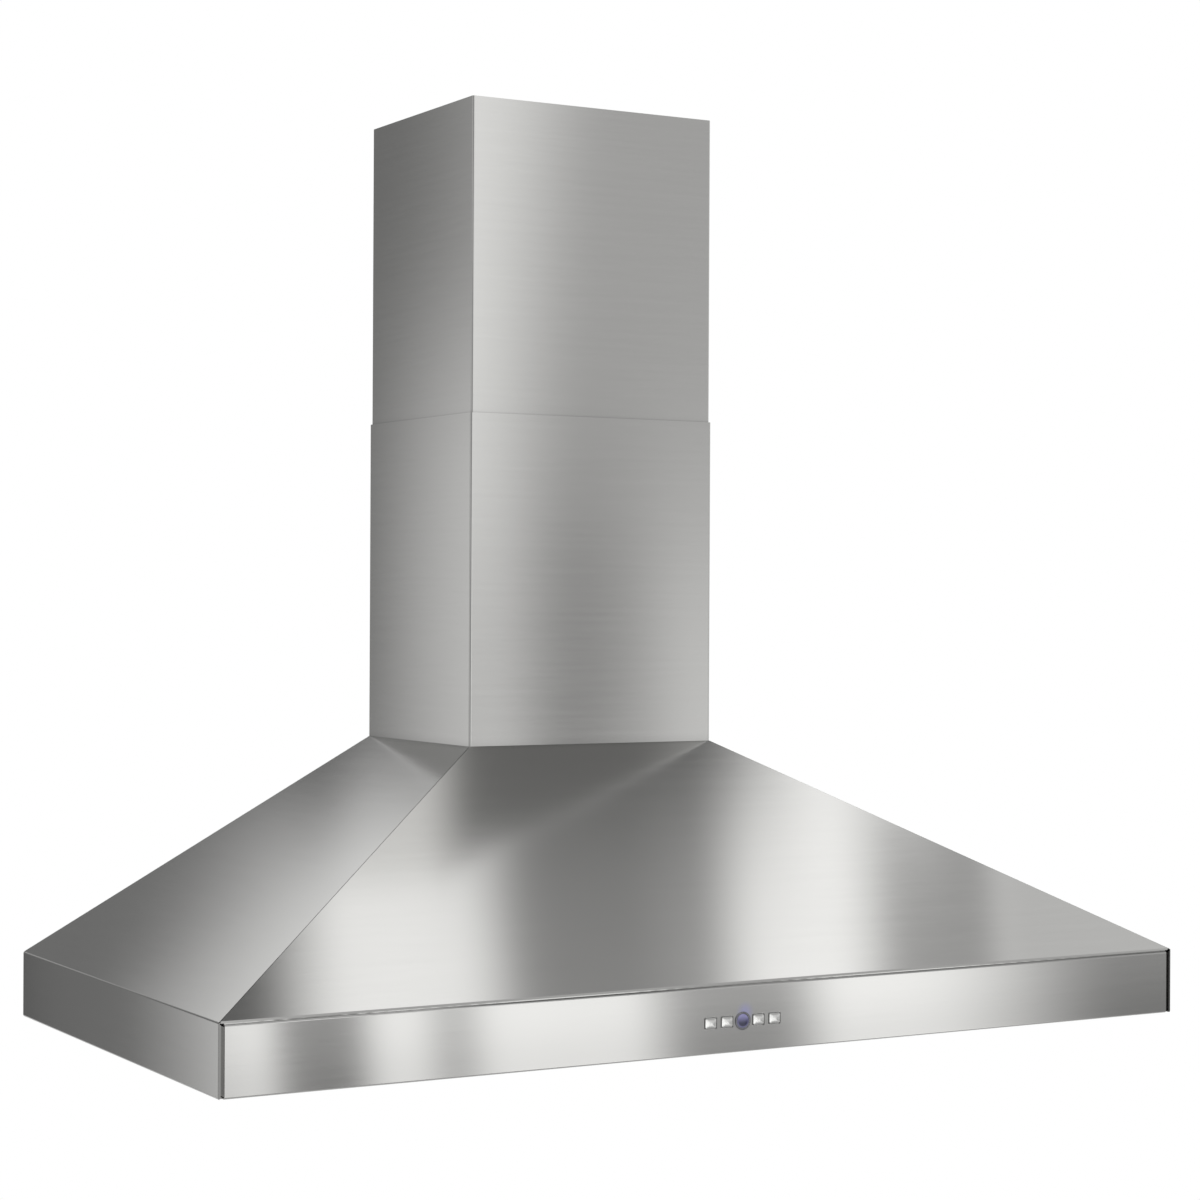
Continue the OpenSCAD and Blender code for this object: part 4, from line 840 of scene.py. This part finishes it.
# Push buttons: caps with a crowned satin face inside a dull bevel, each on
# its guide flange and stem behind the fascia. Their colour holds a painted highlight where the face
# looks straight out, falling to painted shade where it tilts, at the crown's edges and on the bevel.
button_chrome, tree, shader, out = new_material("button_chrome")
place = node(tree, "TexCoord").outputs["Object"]
satin = node(tree, "TexNoise", node(tree, "Mapping", place, Scale=(900, 60, 5000)).outputs[0],
             Scale=1.0, Detail=3.0)
towards_wall = node(tree, "SeparateXYZ", node(tree, "NewGeometry").outputs["Normal"]).outputs[1]
facing = sum_of(tree, "MULTIPLY", towards_wall, -1.0)
face_share = soft_step(tree, facing, 0.93, 0.996)
# painted highlight and shade: tone 0.90 where the surface faces straight out, 0.24 where it tilts, times
# the satin grain
satin_and_painted_highlight_tone = sum_of(tree, "MULTIPLY", soft_step(tree, face_share, 0.0, 1.0, 0.24, 0.90),
                  soft_step(tree, satin.outputs[0], 0.3, 0.7, 0.95, 1.02))
satin_and_painted_highlight_colour = node(tree, "CombineColor", satin_and_painted_highlight_tone, satin_and_painted_highlight_tone, sum_of(tree, "MULTIPLY", satin_and_painted_highlight_tone, 0.98))
tree.links.new(satin_and_painted_highlight_colour.outputs[0], shader.inputs["Base Color"])
shader.inputs["Metallic"].default_value = 1
tree.links.new(blend_of(tree, face_share, 0.42, soft_step(tree, satin.outputs[0], 0.3, 0.7, 0.17, 0.24)),
               shader.inputs["Roughness"])
emboss(tree, shader, satin.outputs[0], 0.05, 0.00001)
button_flange = 0.0012
button_corner = 0.0015
button_crown = 0.0012
button_side_crown = 0.50
button_bevel = 0.0007
button_bevel_depth = 0.0004
button_stem = 0.004
button_set_back = 0.0011
button_flange_t = 0.001
crown_rows = 14
bevel_rows = 5


def rounded_ring(middle, width, height, corner, y, steps=9):
    """Points of an upright rectangle with round corners, square to Y: each corner's middle plus
    the corner's radius times the cosine and sine of the angle."""
    quarter = np.linspace(0, math.pi / 2, steps)
    ring = []
    for k, (sx, sz) in enumerate(((1, 1), (-1, 1), (-1, -1), (1, -1))):
        at = quarter + k * math.pi / 2
        ring += [(middle[0] + sx * (width / 2 - corner) + corner * math.cos(a), y,
                  middle[1] + sz * (height / 2 - corner) + corner * math.sin(a)) for a in at]
    return np.array(ring)


def crowned_face(middle, width, height, corner, y, crown):
    """Rings from the middle of a round-cornered face out to its edge, oval near the middle. The
    face stands proud by the crown times (1 less half of x squared) times (1 less z squared),
    in shares of its half sizes."""
    edge = rounded_ring(middle, width, height, corner, y)
    centre = np.array((middle[0], y, middle[1]))
    share = np.linspace(0.04, 1, crown_rows)[:, None, None]
    half_sizes = (width / 2, 1, height / 2)
    oval = centre + (edge - centre) / np.linalg.norm((edge - centre) / half_sizes, axis=1)[:, None]
    rings = centre + share * (oval - centre + share ** 2 * (edge - oval))
    x, z = (rings[..., 0] - middle[0]) / (width / 2), (rings[..., 2] - middle[1]) / (height / 2)
    rings[..., 1] -= crown * (1 - button_side_crown * x * x) * (1 - z * z)
    return list(rings)


for number in (1, 2, 3, 4):
    low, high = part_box(f"button_{number}")
    middle = ((low.x + high.x) / 2, (low.z + high.z) / 2)
    wide, tall = high.x - low.x, high.z - low.z
    cap_wide, cap_tall = wide - button_flange * 2, tall - button_flange * 2
    flange_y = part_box("control_fascia")[0].y + button_set_back
    rings = crowned_face(middle, cap_wide - button_bevel * 2, cap_tall - button_bevel * 2, button_corner,
                         low.y + button_crown, button_crown)
    for share in np.linspace(0, 1, bevel_rows)[1:]:
        inset = button_bevel * (1 - share)
        rings.append(rounded_ring(middle, cap_wide - inset * 2, cap_tall - inset * 2, button_corner,
                                  low.y + button_crown + button_bevel_depth * share ** 1.6))
    back_y = flange_y + button_flange_t
    rings += [rounded_ring(middle, *outline) for outline in (
        (cap_wide, cap_tall, button_corner, flange_y), (wide, tall, button_corner, flange_y),
        (wide, tall, button_corner, back_y), (button_stem, button_stem, button_corner / 4, back_y),
        (button_stem, button_stem, button_corner / 4, high.y))]
    settle(new_piece(f"button_cap_{number}", through_rings(rings)), button_chrome, f"key_{number}",
           "button_chrome", f"button_{number}")

# Display: a round window between the buttons. A rolled smoked-chrome bezel holds a
# domed dark blue lens, lit evenly round its rim and from above in violet blue.
smoked_chrome, tree, shader, out = new_material("smoked_chrome")
place = node(tree, "TexCoord").outputs["Object"]
buffed = node(tree, "TexNoise", place, Scale=500.0, Detail=3.0)
smoke = soft_step(tree, buffed.outputs[0], 0.3, 0.7, 0.19, 0.24)
tree.links.new(node(tree, "CombineColor", smoke, smoke, sum_of(tree, "MULTIPLY", smoke, 1.08)).outputs[0],
               shader.inputs["Base Color"])
shader.inputs["Metallic"].default_value = 1
tree.links.new(soft_step(tree, buffed.outputs[0], 0.3, 0.7, 0.20, 0.28), shader.inputs["Roughness"])
low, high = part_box("display_rim")
bezel_r = (high.x - low.x) / 2
bezel_len = high.y - low.y
bezel_proud = 0.001
bezel_hole = 0.745
bezel_neck = 0.885
bezel_profile = [(bezel_r * r, y * bezel_proud) for r, y in (
    (bezel_hole, 0.90), (0.75, 0.45), (0.79, 0.12), (0.84, 0.0), (0.90, 0.02), (0.96, 0.20), (0.995, 0.55),
    (1.0, 1.0))]
bezel_profile += [(bezel_r * bezel_neck, bezel_proud), (bezel_r * bezel_neck, bezel_len),
                  (bezel_r * bezel_hole, bezel_len)]
bezel = turned(bezel_profile, dial, (0, 1, 0), 96, loop=True)
settle(new_piece("display_bezel", bezel), smoked_chrome, "hood", "chrome", "display_rim")

display_blue, tree, shader, out = new_material("display_blue")
place = node(tree, "TexCoord").outputs["Object"]
from_dial = node(tree, "VectorMath", place, dial)
from_dial.operation = "SUBTRACT"
dial_axes = node(tree, "SeparateXYZ", from_dial.outputs[0]).outputs
across_dial, up_dial = dial_axes[0], dial_axes[2]
# Square of the distance from the middle, across squared plus up squared, for the lit rim
round_dial = sum_of(tree, "MULTIPLY_ADD", across_dial, across_dial,
                    sum_of(tree, "MULTIPLY", up_dial, up_dial))
rim_light_from = 0.0050
rim_light_to = 0.0071
rim_light = 0.55
lit_rim = soft_step(tree, round_dial, rim_light_from ** 2, rim_light_to ** 2, 0.0, rim_light)
haze = node(tree, "TexNoise", place, Scale=420.0, Detail=3.0)
upper = soft_step(tree, up_dial, -0.0035, 0.0068)
glow = sum_of(tree, "MAXIMUM", upper, lit_rim)
glow = sum_of(tree, "MULTIPLY", glow, soft_step(tree, haze.outputs[0], 0.2, 0.6, 0.8, 1.0))
shader.inputs["Base Color"].default_value = (0.010, 0.011, 0.030, 1)
shader.inputs["Roughness"].default_value = 0.16
shader.inputs["Emission Color"].default_value = (0.27, 0.26, 0.45, 1)
tree.links.new(sum_of(tree, "MULTIPLY_ADD", glow, 0.80, 0.05), shader.inputs["Emission Strength"])
low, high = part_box("display_lens")
lens_r = (high.x - low.x) / 2
lens_rise = 0.0006
lens_eye_share = 0.03
face = [(s * lens_r, -lens_rise * (1 - s * s)) for s in np.linspace(lens_eye_share, 1, 16)]
back = [(lens_r, high.y - low.y), (lens_eye_share * lens_r, high.y - low.y)]
lens = turned(face + back, (dial.x, low.y, dial.z), (0, 1, 0), 96)
settle(new_piece("display_window", lens), display_blue, "hood", "display_blue", "display_lens")

# Circuit board behind the fascia: green lacquer over copper tracks, with
# tinned pads
board, tree, shader, out = new_material("board")
place = node(tree, "TexCoord").outputs["Object"]
upright = node(tree, "Mapping", place, Rotation=(math.pi / 2, 0, 0)).outputs[0]
tracks = node(tree, "TexBrick", upright, Scale=90.0, Mortar_Size=0.06, Color1=(0.010, 0.085, 0.030, 1),
              Color2=(0.012, 0.11, 0.038, 1), Mortar=(0.022, 0.17, 0.055, 1))
pads = node(tree, "TexVoronoi", place, Scale=260.0, Randomness=0.25)
pad = soft_step(tree, pads.outputs[0], 0.22, 0.17)
tin = node(tree, "Mix")
tin.data_type = "RGBA"
tree.links.new(pad, tin.inputs["Factor"])
tree.links.new(tracks.outputs[0], tin.inputs[6])
tin.inputs[7].default_value = (0.55, 0.55, 0.53, 1)
tree.links.new(tin.outputs[2], shader.inputs["Base Color"])
tree.links.new(pad, shader.inputs["Metallic"])
shader.inputs["Roughness"].default_value = 0.32
emboss(tree, shader, pad, 0.5, 0.0001)
dress(board, "control_board")

# Folded and rolled sheets, all nodes: bends and tubes look smooth, and every flat
# stays flat up to its edge.
weld_reach = 0.000002
fold_edge = math.radians(40)
for made in nodes.values():
    weld = made.modifiers.new("weld", "WELD")
    weld.merge_threshold = weld_reach
    split = made.modifiers.new("split", "EDGE_SPLIT")
    split.split_angle = fold_edge
    flat = made.modifiers.new("flat", "WEIGHTED_NORMAL")
    flat.mode = "FACE_AREA"
    flat.weight = 100
    made.data.polygons.foreach_set("use_smooth", np.full(len(made.data.polygons), True))
